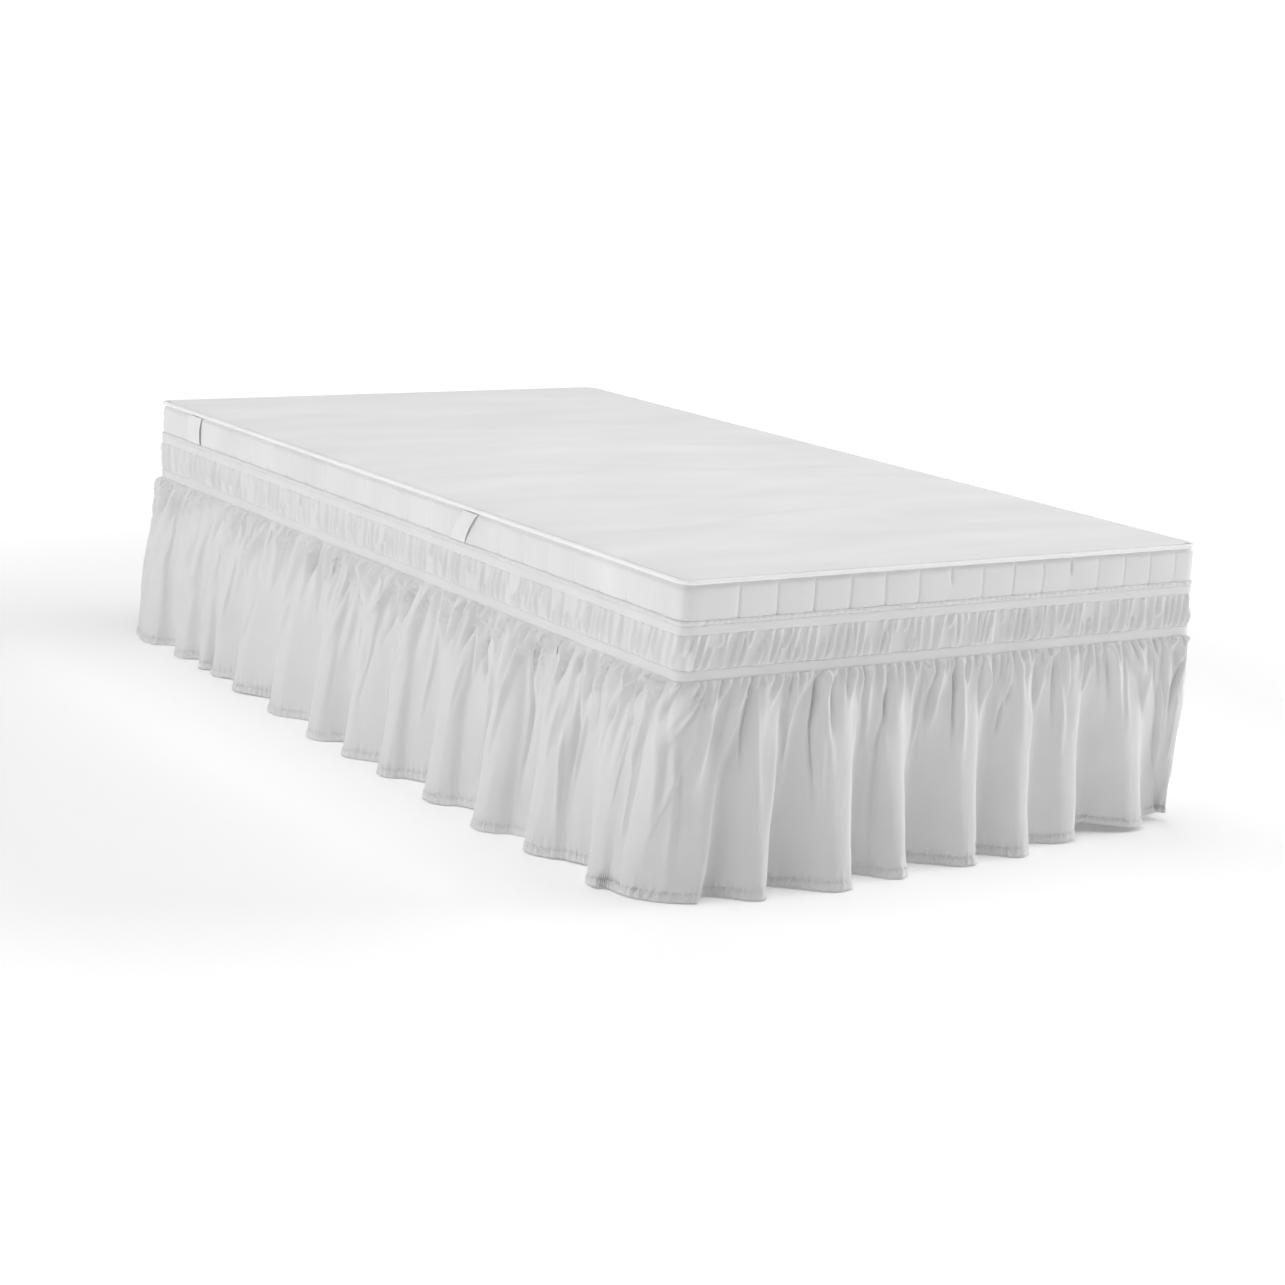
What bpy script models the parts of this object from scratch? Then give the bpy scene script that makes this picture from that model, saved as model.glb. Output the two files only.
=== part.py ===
"""A gathered bed skirt held by two elastic bands round a twin mattress on a plain bed base.

The skirt is one cloth: a small frill edge, a shirred zone between the two bands, and a long
ruffle that hangs in uneven folds to the floor. Run it in Blender 4.5, with
blender --background --python part.py, or from the text editor. Units are metres, +Z is up,
+Y points from the foot of the bed to its head, and the origin is on the floor under the
middle of the bed.
"""
import math
from collections import namedtuple

import bmesh
import bpy
from mathutils import Vector

# Mattress block
MATTRESS_WIDTH = 0.990
MATTRESS_LENGTH = 1.905
MATTRESS_BOTTOM = 0.267
CORNER_RADIUS = 0.020
CORNER_STEPS = 3              # columns in each half of a rounded corner
BORDER_TOP = 0.4564           # the upright border ends here, under the piping
PIPING_SEAT_DEPTH = 0.0047    # the notch that the piping sits in
PIPING_SEAT_LOW = 0.4604
PIPING_SEAT_HIGH = 0.4664
EDGE_CHAMFER = 0.006
TOP_PANEL_EDGE_INSET = 0.010
TOP_PANEL_EDGE_HEIGHT = 0.4674
TOP_CROWN = ((0.035, 0.4694), (0.110, 0.4708))   # inset and height of the crown's rings
CHANNEL_DEPTH = 0.0015        # the sewn channels' seams draw the border in by this much
FOOT_CHANNEL_FIRST = 0.0976   # from the foot's left corner
FOOT_CHANNEL_PITCH = 0.0690
FOOT_CHANNEL_CLOSER = 0.00062  # each pitch is narrower than the last by twice this
FOOT_CHANNEL_SEAMS = 15
LONG_CHANNEL_FIRST = 0.075
LONG_CHANNEL_PITCH = 0.078
LONG_CHANNEL_SEAMS = 23

# Welt along the mattress's top edge
PIPING_RADIUS = 0.0035
PIPING_HEIGHT = 0.4631
PIPING_OUT = -0.0006
PIPING_SIDES = 8

# Base and legs under the mattress
FIT_GAP = 0.00032             # between pieces that touch
BASE_INSET = 0.008
BASE_BOTTOM = 0.190
LEG_TOP_RADIUS = 0.030
LEG_FOOT_RADIUS = 0.022
LEG_INSET_X = 0.095
LEG_INSET_Y = 0.0925
LEG_SIDES = 12
LEG_SHARP_DEG = 40

# Skirt heights above the floor
FRILL_TOP = 0.4053
UPPER_BAND_TOP = 0.4023
LOWER_BAND_TOP = 0.3325
BAND_HEIGHT = 0.016
BAND_MARGIN = 0.0015          # the cloth lies flat this far past a band's edge
GATHER_ROW = 0.294            # where the gathers swell out below the lower band
RUFFLE_ROWS = (0.0, 0.077, 0.158, 0.236)

# Skirt cloth and bands
CLOTH_INNER = 0.0004          # held against the mattress by the bands
CLOTH_OUTER = 0.0020
CLOTH_THICKNESS = 0.0016
SHIRR_OUT = 0.0030            # swell of the shirred zone between the bands
SHIRR_RIB = 0.0030            # how far every other rib stands further out
BAND_THICKNESS = 0.0015
PUFF = 0.007                  # swell of all the gathers just below the lower band
PUFF_REACH = 0.06             # share of the ruffle's height in which it swells
GATHER_RIPPLE = 0.0036        # small gathers, which fade out downwards
GATHER_FADE = 0.12
GROWTH_POWER = 0.85           # below 1, the folds open early
TUCK_POWER = 2.2              # cloth that hangs in under the bed does so low down
LEAN_POWER = 0.70             # below 1, the folds do most of their leaning high up
ROUNDNESS = 0.62              # of a fold's narrow side, which doubles back behind its crest
WIDE_ROUNDNESS = 0.10         # and of its wide face, which is nearly straight
CREST_SHARE = 0.18            # share of the wide face that is its flat crest
HEM_STEP = 0.026              # width of a column at the hem
BAND_STEP = 0.021             # and at the bands
SAME_PLACE = 1e-6             # columns nearer than this are one column
NEAR_PLACE = 0.004            # and a crest's edge gets no column of its own this near one

# Handles sewn on the long side, as distances from the foot's left corner
STRAP_THICKNESS = 0.0018
STRAP_TOP = 0.4584
STRAP_STEPS = 10
STRAP_FULLNESS = 0.7          # below 1, the bow is flatter in its middle

Strap = namedtuple("Strap", "name top_at bottom_at width bow")
STRAPS = (
    Strap("handle_strap_foot", top_at=0.637, bottom_at=0.660, width=0.048, bow=0.0140),
    Strap("handle_strap_head", top_at=1.735, bottom_at=1.742, width=0.056, bow=0.0040),
)

# The ruffle's crests and hollows. Distances run along the side from the foot's left corner.
# "out" is how far the cloth stands off the mattress's side at the hem, and the lean is how much
# farther from that corner the bend starts at the band than it ends at the hem.
Bend = namedtuple("Bend", "hem_at out lean")
FOOT_BENDS = (
    Bend(-0.030, 0.079, 0.002), Bend(0.006, 0.068, 0.055), Bend(0.024, 0.052, 0.076),
    Bend(0.033, 0.043, 0.073), Bend(0.102, 0.097, 0.074),
    Bend(0.140, 0.035, 0.063), Bend(0.243, 0.107, 0.056),
    Bend(0.300, 0.032, 0.038), Bend(0.360, 0.089, 0.020),
    Bend(0.415, 0.015, 0.024), Bend(0.504, 0.077, 0.028),
    Bend(0.552, 0.025, 0.028), Bend(0.611, 0.070, 0.030),
    Bend(0.665, 0.008, 0.015), Bend(0.732, 0.035, 0.000),
    Bend(0.797, -0.007, -0.014), Bend(0.882, 0.024, -0.035),
)
LONG_BENDS = (
    Bend(0.070, 0.097, 0.075), Bend(0.150, 0.042, 0.076),
    Bend(0.257, 0.097, 0.078), Bend(0.310, 0.042, 0.079),
    Bend(0.398, 0.107, 0.080), Bend(0.475, 0.038, 0.079),
    Bend(0.572, 0.100, 0.078), Bend(0.655, 0.033, 0.076),
    Bend(0.745, 0.098, 0.074), Bend(0.803, 0.048, 0.071),
    Bend(0.878, 0.098, 0.068), Bend(0.938, 0.042, 0.064),
    Bend(1.016, 0.098, 0.060), Bend(1.105, 0.028, 0.056),
    Bend(1.196, 0.083, 0.052), Bend(1.285, 0.026, 0.047),
    Bend(1.374, 0.073, 0.042), Bend(1.440, 0.024, 0.038),
    Bend(1.508, 0.061, 0.034), Bend(1.540, 0.036, 0.031),
    Bend(1.568, 0.060, 0.028), Bend(1.620, 0.024, 0.023),
    Bend(1.682, 0.061, 0.018), Bend(1.748, 0.022, 0.012),
    Bend(1.822, 0.065, 0.005), Bend(1.957, 0.034, 0.020),
)

# Past the last fold at the foot's right corner the cloth hangs close and a little short
CORNER_SPAN = (0.93, 1.12)
CORNER_BENDS = (
    Bend(0.958, -0.040, -0.078), Bend(0.986, -0.006, -0.008),
    Bend(1.020, -0.020, 0.0), Bend(1.075, 0.030, 0.010),
)
HEM_LIFTS = ((0.70, 0.0), (0.75, 0.004), (0.80, 0.015), (0.90, 0.003), (0.96, 0.011),
             (1.02, 0.012), (1.10, 0.006), (1.25, 0.0))   # along the walk

# Finishes: colour, roughness, metallic
Finish = namedtuple("Finish", "color roughness metallic")
COTTON = Finish((0.86, 0.86, 0.86, 1.0), 0.85, 0.0)
ELASTIC = Finish((0.88, 0.88, 0.88, 1.0), 0.70, 0.0)
TICKING = Finish((0.84, 0.84, 0.85, 1.0), 0.80, 0.0)
WELT = Finish((0.92, 0.92, 0.92, 1.0), 0.60, 0.0)
WEBBING = Finish((0.88, 0.88, 0.88, 1.0), 0.75, 0.0)
PAINTED_WOOD = Finish((0.72, 0.70, 0.67, 1.0), 0.55, 0.0)

HALF_PERIMETER = MATTRESS_WIDTH + MATTRESS_LENGTH
PERIMETER = 2 * HALF_PERIMETER
RUFFLE_TOP = LOWER_BAND_TOP - BAND_HEIGHT


def clear_scene():
    """Remove every object that the scene starts with."""
    for old in list(bpy.data.objects):
        bpy.data.objects.remove(old, do_unlink=True)


def outline_point(at, out):
    """The point at a distance round the mattress, moved out from its side.

    The walk starts at the foot's left corner and runs anticlockwise. Each half of a rounded
    corner counts as one corner radius of the walk.
    """
    half_w, half_l = MATTRESS_WIDTH / 2, MATTRESS_LENGTH / 2
    sides = (
        (Vector((-half_w, -half_l)), Vector((1, 0)), MATTRESS_WIDTH),
        (Vector((half_w, -half_l)), Vector((0, 1)), MATTRESS_LENGTH),
        (Vector((half_w, half_l)), Vector((-1, 0)), MATTRESS_WIDTH),
        (Vector((-half_w, half_l)), Vector((0, -1)), MATTRESS_LENGTH),
    )
    along = at % PERIMETER
    for start, direction, length in sides:
        if along <= length:
            break
        along -= length
    normal = Vector((direction.y, -direction.x))
    r = CORNER_RADIUS
    if r <= along <= length - r:
        return start + direction * along + normal * out
    if along < r:
        turn = -math.radians(45) * (1 - along / r)
        centre = start + direction * r - normal * r
    else:
        turn = math.radians(45) * (1 - (length - along) / r)
        centre = start + direction * (length - r) - normal * r
    return centre + (normal * math.cos(turn) + direction * math.sin(turn)) * (r + out)


def corner_stations():
    """Distances round the mattress of the columns in its four rounded corners."""
    step = CORNER_RADIUS / CORNER_STEPS
    stations = []
    for corner in (0, MATTRESS_WIDTH, HALF_PERIMETER, HALF_PERIMETER + MATTRESS_WIDTH):
        steps = range(-CORNER_STEPS, CORNER_STEPS + 1)
        stations += [(corner + i * step) % PERIMETER for i in steps]
    return sorted(stations)


def new_object(name, bm, finish):
    """Turn a bmesh into a named object with its own material."""
    mesh = bpy.data.meshes.new(name)
    bmesh.ops.recalc_face_normals(bm, faces=bm.faces)
    bm.to_mesh(mesh)
    bm.free()
    material = bpy.data.materials.new(name + "_finish")
    material.use_nodes = True
    shader = material.node_tree.nodes["Principled BSDF"]
    shader.inputs["Base Color"].default_value = finish.color
    shader.inputs["Roughness"].default_value = finish.roughness
    shader.inputs["Metallic"].default_value = finish.metallic
    mesh.materials.append(material)
    obj = bpy.data.objects.new(name, mesh)
    bpy.context.scene.collection.objects.link(obj)
    return obj


def add_ring(bm, points):
    """Add a closed ring of vertices."""
    return [bm.verts.new(p) for p in points]


def join_rings(bm, low, high):
    """Join two rings of equal length with a strip of quads."""
    count = len(low)
    for i in range(count):
        j = (i + 1) % count
        bm.faces.new((low[i], low[j], high[j], high[i]))


def sweep_ring(name, stations, section, finish):
    """A closed band round the bed: its section is a loop of (out, height) corners."""
    bm = bmesh.new()
    rings = [add_ring(bm, [(*outline_point(s, out), z) for s in stations]) for out, z in section]
    for i, ring in enumerate(rings):
        join_rings(bm, ring, rings[(i + 1) % len(rings)])
    return new_object(name, bm, finish)


# ---------------------------------------------------------------- the skirt's folds

Turn = namedtuple("Turn", "top hem out")
Column = namedtuple("Column", "top hem out")


def fold_turns():
    """Every crest and hollow round the bed, in order, as where it is at band and hem."""
    half = [(bend.hem_at, bend.lean, bend.out) for bend in FOOT_BENDS]
    half += [(-bend.hem_at, -bend.lean, bend.out) for bend in LONG_BENDS]
    # the head and the right side carry the same folds, turned half round
    turns = [((at + turned) % PERIMETER, lean, out)
             for turned in (0, HALF_PERIMETER) for at, lean, out in half]
    low, high = CORNER_SPAN
    turns = [turn for turn in turns if not low < turn[0] < high]
    turns += [(bend.hem_at, bend.lean, bend.out) for bend in CORNER_BENDS]
    turns.sort()
    return [Turn(snap_to_corner(at + lean), at, out) for at, lean, out in turns]


def signed_gap(to, start):
    """The shortest way round the mattress from one place to another."""
    return (to - start + HALF_PERIMETER) % PERIMETER - HALF_PERIMETER


def hem_lift(at, height):
    """How much higher than its row the cloth is, which fades out from the hem upwards."""
    along = at % PERIMETER
    lift = 0.0
    for (start, low), (end, high) in zip(HEM_LIFTS, HEM_LIFTS[1:]):
        if start <= along < end:
            lift = low + (high - low) * (along - start) / (end - start)
    return lift * (1 - height / RUFFLE_TOP) ** 2


def snap_to_corner(at):
    """Move a place that falls inside a rounded corner to the corner's nearest column."""
    gap = min((signed_gap(station, at) for station in corner_stations()), key=abs)
    inside = abs(gap) <= CORNER_RADIUS / CORNER_STEPS / 2
    return at + gap if inside else at


def ease_place(u, roundness):
    """Where a column lies between two turns: the rounder, the steeper the cloth between."""
    return u + roundness * math.sin(2 * math.pi * u) / (2 * math.pi)


def ease_out(climb, wide):
    """How far a column has gone from its hollow's reach to its crest's one."""
    if wide:
        return min(1.0, climb / (1 - CREST_SHARE))
    return 0.5 - 0.5 * math.cos(math.pi * climb)


def hem_span(turns, i):
    """The way along the hem from a turn to the next one."""
    return (turns[(i + 1) % len(turns)].hem - turns[i % len(turns)].hem) % PERIMETER


def skirt_columns():
    """Columns of the skirt: where each is at the band and the hem, and its reach there."""
    turns = fold_turns()
    corners = corner_stations()
    columns = []
    for i, turn in enumerate(turns):
        after = turns[(i + 1) % len(turns)]
        top_span = (after.top - turn.top) % PERIMETER
        rising = after.out > turn.out
        crest = i + 1 if rising else i
        wide = rising == (hem_span(turns, crest - 1) > hem_span(turns, crest))
        strip_start = 1 - CREST_SHARE if rising else CREST_SHARE
        ahead = [(station - turn.top) % PERIMETER for station in corners]
        stops = [0.0, top_span] + [gap for gap in ahead if SAME_PLACE < gap < top_span - SAME_PLACE]
        if wide and all(abs(stop - strip_start * top_span) > NEAR_PLACE for stop in stops):
            stops.append(strip_start * top_span)
        stops.sort()
        hem_length = math.hypot(hem_span(turns, i), after.out - turn.out)
        step = min(BAND_STEP, HEM_STEP * top_span / hem_length)
        for low, high in zip(stops, stops[1:]):
            pieces = max(1, round((high - low) / step))
            for k in range(pieces):
                place = low + (high - low) * k / pieces
                u = place / top_span
                hem = turn.hem + hem_span(turns, i) * ease_place(u, WIDE_ROUNDNESS if wide else ROUNDNESS)
                climb = ease_out(u if rising else 1 - u, wide)
                lowest, highest = min(turn.out, after.out), max(turn.out, after.out)
                columns.append(Column(turn.top + place, hem, lowest + (highest - lowest) * climb))
    return columns


def ruffle_centreline(columns, height):
    """The middle of the cloth at a height in the ruffle, as a ring of plan points."""
    t = 1 - height / RUFFLE_TOP
    start = (CLOTH_INNER + CLOTH_OUTER) / 2
    puff = PUFF * (1 - math.exp(-t / PUFF_REACH))
    ripple = GATHER_RIPPLE * math.exp(-t / GATHER_FADE)
    ring = []
    for i, column in enumerate(columns):
        shift = signed_gap(column.hem, column.top)
        grown = column.out - PUFF
        reach = start + puff + grown * t ** (GROWTH_POWER if grown > 0 else TUCK_POWER)
        reach += ripple if i % 2 else -ripple / 3
        ring.append(outline_point(column.top + shift * t ** LEAN_POWER, reach))
    return ring


def offset_ring(ring, heights, distance):
    """Move a ring of plan points sideways along its own normals, and give it heights."""
    moved = []
    for i, (point, height) in enumerate(zip(ring, heights)):
        tangent = (ring[(i + 1) % len(ring)] - ring[i - 1]).normalized()
        moved.append((point.x + tangent.y * distance, point.y - tangent.x * distance, height))
    return moved


def held_ring(columns, height, out):
    """A ring of the cloth where the bands hold it to the mattress."""
    return [(*outline_point(column.top, out), height) for column in columns]


def build_skirt():
    """The whole skirt: inner and outer faces of one cloth, joined at the hem and the frill."""
    columns = skirt_columns()
    bm = bmesh.new()
    outer, inner = [], []
    for height in (*RUFFLE_ROWS, GATHER_ROW):
        ring = ruffle_centreline(columns, height)
        heights = [height + hem_lift(column.hem, height) for column in columns]
        outer.append(add_ring(bm, offset_ring(ring, heights, CLOTH_THICKNESS / 2)))
        inner.append(add_ring(bm, offset_ring(ring, heights, -CLOTH_THICKNESS / 2)))
    below_band = RUFFLE_TOP - BAND_MARGIN
    shirr_low = LOWER_BAND_TOP + BAND_MARGIN
    shirr_high = UPPER_BAND_TOP - BAND_HEIGHT - BAND_MARGIN
    for height in (below_band, shirr_low):
        outer.append(add_ring(bm, held_ring(columns, height, CLOTH_OUTER)))
    middle = [outline_point(c.top, CLOTH_OUTER + SHIRR_OUT + (SHIRR_RIB if i % 2 else 0))
              for i, c in enumerate(columns)]
    outer.append(add_ring(bm, [(p.x, p.y, (shirr_low + shirr_high) / 2) for p in middle]))
    for height in (shirr_high, FRILL_TOP):
        outer.append(add_ring(bm, held_ring(columns, height, CLOTH_OUTER)))
    for height in (below_band, FRILL_TOP):
        inner.append(add_ring(bm, held_ring(columns, height, CLOTH_INNER)))
    for wall in (outer, inner):
        for low, high in zip(wall, wall[1:]):
            join_rings(bm, low, high)
    join_rings(bm, outer[0], inner[0])
    join_rings(bm, outer[-1], inner[-1])
    return new_object("skirt_cloth", bm, COTTON)


def build_bands():
    """The two elastic bands that hold the skirt to the mattress."""
    low = CLOTH_OUTER + FIT_GAP
    high = low + BAND_THICKNESS
    for name, top in (("upper_elastic_band", UPPER_BAND_TOP), ("lower_elastic_band", LOWER_BAND_TOP)):
        bottom = top - BAND_HEIGHT
        section = ((low, bottom), (high, bottom), (high, top), (low, top))
        sweep_ring(name, corner_stations(), section, ELASTIC)


# ---------------------------------------------------------------- the mattress

def channel_stations():
    """Columns of the mattress border, each with how far its seam draws it in."""
    stations = [(s, 0.0) for s in corner_stations()]
    foot = [FOOT_CHANNEL_FIRST + i * FOOT_CHANNEL_PITCH - i * i * FOOT_CHANNEL_CLOSER
            for i in range(FOOT_CHANNEL_SEAMS)]
    long_side = [-LONG_CHANNEL_FIRST - i * LONG_CHANNEL_PITCH for i in range(LONG_CHANNEL_SEAMS)]
    for seams in (foot, long_side):
        for turned in (0, HALF_PERIMETER):
            stations += [((s + turned) % PERIMETER, -CHANNEL_DEPTH) for s in seams]
            stations += [(((s + after) / 2 + turned) % PERIMETER, 0.0)
                         for s, after in zip(seams, seams[1:])]
    return sorted(stations)


def build_mattress():
    """A plain padded block with sewn channels round its border and a low crown."""
    stations = channel_stations()
    bm = bmesh.new()

    def border_ring(out, height, channels=True):
        return add_ring(bm, [(*outline_point(s, out + (dip if channels else 0)), height)
                             for s, dip in stations])

    rings = [
        border_ring(-EDGE_CHAMFER, MATTRESS_BOTTOM, channels=False),
        border_ring(0, MATTRESS_BOTTOM + EDGE_CHAMFER),
        border_ring(0, BORDER_TOP),
        border_ring(-PIPING_SEAT_DEPTH, PIPING_SEAT_LOW, channels=False),
        border_ring(-PIPING_SEAT_DEPTH, PIPING_SEAT_HIGH, channels=False),
        border_ring(-TOP_PANEL_EDGE_INSET, TOP_PANEL_EDGE_HEIGHT, channels=False),
    ]
    edge = [v.co.copy() for v in rings[-1]]
    for inset, height in TOP_CROWN:
        across = 1 - inset / (MATTRESS_WIDTH / 2)
        along = 1 - inset / (MATTRESS_LENGTH / 2)
        rings.append(add_ring(bm, [(p.x * across, p.y * along, height) for p in edge]))
    for low, high in zip(rings, rings[1:]):
        join_rings(bm, low, high)
    bm.faces.new(rings[0])
    bm.faces.new(rings[-1])
    return new_object("mattress", bm, TICKING)


def build_piping():
    """The round welt in its notch along the top edge."""
    section = []
    for i in range(PIPING_SIDES):
        angle = 2 * math.pi * (i + 0.5) / PIPING_SIDES
        section.append((PIPING_OUT + PIPING_RADIUS * math.cos(angle),
                        PIPING_HEIGHT + PIPING_RADIUS * math.sin(angle)))
    return sweep_ring("mattress_piping", corner_stations(), section, WELT)


def build_strap(strap):
    """A webbing handle sewn to the long side at both ends, bowed out between them."""
    bottom = FRILL_TOP + FIT_GAP * 2
    bm = bmesh.new()
    rows = []
    for i in range(STRAP_STEPS + 1):
        v = i / STRAP_STEPS
        height = bottom + (STRAP_TOP - bottom) * v
        at = strap.bottom_at + (strap.top_at - strap.bottom_at) * v
        inner = FIT_GAP + strap.bow * max(0.0, math.sin(math.pi * v)) ** STRAP_FULLNESS
        row = []
        for out, side in ((inner, -1), (inner + STRAP_THICKNESS, -1),
                          (inner + STRAP_THICKNESS, 1), (inner, 1)):
            point = outline_point(-(at + side * strap.width / 2), out)
            row.append(bm.verts.new((*point, height)))
        rows.append(row)
    for low, high in zip(rows, rows[1:]):
        join_rings(bm, low, high)
    bm.faces.new(rows[0])
    bm.faces.new(rows[-1])
    return new_object(strap.name, bm, WEBBING)


# ---------------------------------------------------------------- the bed base

def build_base():
    """A plain base under the mattress, with broken edges."""
    top = MATTRESS_BOTTOM - FIT_GAP
    section = ((-BASE_INSET - EDGE_CHAMFER, BASE_BOTTOM), (-BASE_INSET, BASE_BOTTOM + EDGE_CHAMFER),
               (-BASE_INSET, top - EDGE_CHAMFER), (-BASE_INSET - EDGE_CHAMFER, top))
    bm = bmesh.new()
    rings = [add_ring(bm, [(*outline_point(s, out), z) for s in corner_stations()])
             for out, z in section]
    for low, high in zip(rings, rings[1:]):
        join_rings(bm, low, high)
    bm.faces.new(rings[0])
    bm.faces.new(rings[-1])
    return new_object("bed_base", bm, PAINTED_WOOD)


def build_legs():
    """Four tapered legs, one near each corner of the base."""
    height = BASE_BOTTOM - FIT_GAP
    x = MATTRESS_WIDTH / 2 - LEG_INSET_X
    y = MATTRESS_LENGTH / 2 - LEG_INSET_Y
    for number, (sx, sy) in enumerate(((-1, -1), (1, -1), (1, 1), (-1, 1)), start=1):
        bm = bmesh.new()
        bmesh.ops.create_cone(bm, cap_ends=True, segments=LEG_SIDES, radius1=LEG_FOOT_RADIUS,
                              radius2=LEG_TOP_RADIUS, depth=height)
        bmesh.ops.translate(bm, vec=(0, 0, height / 2), verts=bm.verts)
        leg = new_object(f"leg_{number}", bm, PAINTED_WOOD)
        leg.location = (sx * x, sy * y, 0)
        leg.data.shade_smooth()
        leg.data.set_sharp_from_angle(angle=math.radians(LEG_SHARP_DEG))


def main():
    clear_scene()
    build_skirt()
    build_bands()
    build_mattress()
    build_piping()
    for strap in STRAPS:
        build_strap(strap)
    build_base()
    build_legs()


main()
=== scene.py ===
"""Dressed model of a gathered bed skirt round a twin mattress on a plain bed base.

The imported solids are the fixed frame. Each sub-assembly here is a class that holds its sizes
and builds its own meshes round that frame. Units are metres, +Z is up, and +Y points from the
foot of the bed to its head. Distances along the walk round the bed start at the foot's left
corner and run anticlockwise, seen from above.
"""
from __future__ import annotations

import logging
import math
from dataclasses import dataclass, field
from enum import Enum

import bmesh
import bpy
import numpy as np
from mathutils import Matrix, Vector

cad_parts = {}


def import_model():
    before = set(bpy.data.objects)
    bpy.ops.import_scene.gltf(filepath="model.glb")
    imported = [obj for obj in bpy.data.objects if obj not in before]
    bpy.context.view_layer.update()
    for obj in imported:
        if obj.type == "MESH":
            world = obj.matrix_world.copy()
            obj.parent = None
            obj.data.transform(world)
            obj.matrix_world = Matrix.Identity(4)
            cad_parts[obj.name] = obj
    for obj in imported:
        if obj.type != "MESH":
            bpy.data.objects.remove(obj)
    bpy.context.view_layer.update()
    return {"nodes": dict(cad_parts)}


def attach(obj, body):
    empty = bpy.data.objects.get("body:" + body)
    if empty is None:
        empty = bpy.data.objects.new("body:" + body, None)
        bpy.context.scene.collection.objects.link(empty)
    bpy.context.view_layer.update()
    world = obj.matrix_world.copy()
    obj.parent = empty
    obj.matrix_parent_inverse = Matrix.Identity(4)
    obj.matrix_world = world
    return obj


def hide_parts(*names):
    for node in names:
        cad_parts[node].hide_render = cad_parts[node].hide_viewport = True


LOG = logging.getLogger("bed_skirt")
BODY = "root"


# ------------------------------------------------------------------ shape helpers


@dataclass(frozen=True)
class Outline:
    """The rounded rectangle that the skirt is wrapped round.

    Each half of a rounded corner counts as one corner radius of the walk.
    """

    width: float = 0.990
    length: float = 1.905
    radius: float = 0.020

    @property
    def half(self) -> float:
        """Half the walk round the bed."""
        return self.width + self.length

    @property
    def whole(self) -> float:
        """The whole walk round the bed."""
        return 2 * self.half

    def gap(self, to: np.ndarray, start: np.ndarray) -> np.ndarray:
        """The shortest signed way from one place on the walk to another."""
        return (to - start + self.half) % self.whole - self.half

    def place(self, at: np.ndarray, out: np.ndarray) -> np.ndarray:
        """Plan points at distances along the walk, moved out from the mattress's side.

        Args:
            at: distances along the walk.
            out: how far each point stands off the side.

        Returns:
            An array of x and y, with one more axis than ``at``.
        """
        at, out = np.broadcast_arrays(np.asarray(at, float) % self.whole, np.asarray(out, float))
        w, l, r = self.width, self.length, self.radius
        side = np.searchsorted([w, w + l, 2 * w + l], at, side="right")
        along = at - np.array([0, w, w + l, 2 * w + l])[side]
        span = np.array([w, l, w, l])[side]
        start = np.array([(-w, -l), (w, -l), (w, l), (-w, l)])[side] / 2
        ahead = np.array([(1, 0), (0, 1), (-1, 0), (0, -1)], float)[side]
        normal = np.stack([ahead[..., 1], -ahead[..., 0]], -1)
        turn = np.clip(along / r - 1, -1, 0) + np.clip(1 - (span - along) / r, 0, 1)
        turn = np.radians(45) * turn
        centre = start + ahead * np.clip(along, r, span - r)[..., None] - normal * r
        facing = normal * np.cos(turn)[..., None] + ahead * np.sin(turn)[..., None]
        return centre + facing * (r + out)[..., None]


OUTLINE = Outline()


class Side(Enum):
    """The skirt's four lengths, each as where it starts and ends on the walk.

    The joins are in hollows a little past the bed's corners.
    """

    FOOT = (0.190, 1.020)
    RIGHT = (1.020, 3.085)
    HEAD = (3.085, 3.860)
    LEFT = (3.860, 5.980)

    @property
    def word(self) -> str:
        """The side's name in lower case."""
        return self.name.lower()


def smooth(x: np.ndarray) -> np.ndarray:
    """0 below 0, 1 above 1, and a soft step between."""
    x = np.clip(x, 0.0, 1.0)
    return x * x * (3 - 2 * x)


def faded(x: np.ndarray, start: float, end: float) -> np.ndarray:
    """1 before the start, 0 past the end, and a soft step between."""
    return 1 - smooth((x - start) / (end - start))


def blurred(values: np.ndarray, sigma: float) -> np.ndarray:
    """Blurs rows of values that run once round the bed.

    Args:
        values: an array whose last axis goes round the bed.
        sigma: width of the blur, in columns.

    Returns:
        The blurred array.
    """
    reach = int(3 * sigma) + 1
    weights = np.exp(-0.5 * (np.arange(-reach, reach + 1) / sigma) ** 2)
    weights /= weights.sum()
    total = np.zeros_like(values, dtype=float)
    for k, weight in zip(range(-reach, reach + 1), weights):
        total += weight * np.roll(values, k, axis=-1)
    return total


def value_noise(x: np.ndarray, y: np.ndarray, seed: int, wrap: int) -> np.ndarray:
    """Smooth seeded noise from -1 to 1 on a lattice of unit cells.

    Args:
        x: place across, in cells.
        y: place up, in cells.
        seed: number that picks the pattern.
        wrap: cells across after which the pattern closes.

    Returns:
        The noise at each place.
    """
    x, y = np.broadcast_arrays(np.asarray(x, float), np.asarray(y, float))
    table = np.random.default_rng(seed).uniform(-1, 1, (256, wrap))
    x0, y0 = np.floor(x).astype(int), np.floor(y).astype(int)
    fx, fy = smooth(x - x0), smooth(y - y0)

    def lattice(i: int, j: int) -> np.ndarray:
        """The value at one corner of each cell."""
        return table[(y0 + j) % 256, (x0 + i) % wrap]

    low = lattice(0, 0) * (1 - fx) + lattice(1, 0) * fx
    high = lattice(0, 1) * (1 - fx) + lattice(1, 1) * fx
    return low * (1 - fy) + high * fy


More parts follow.
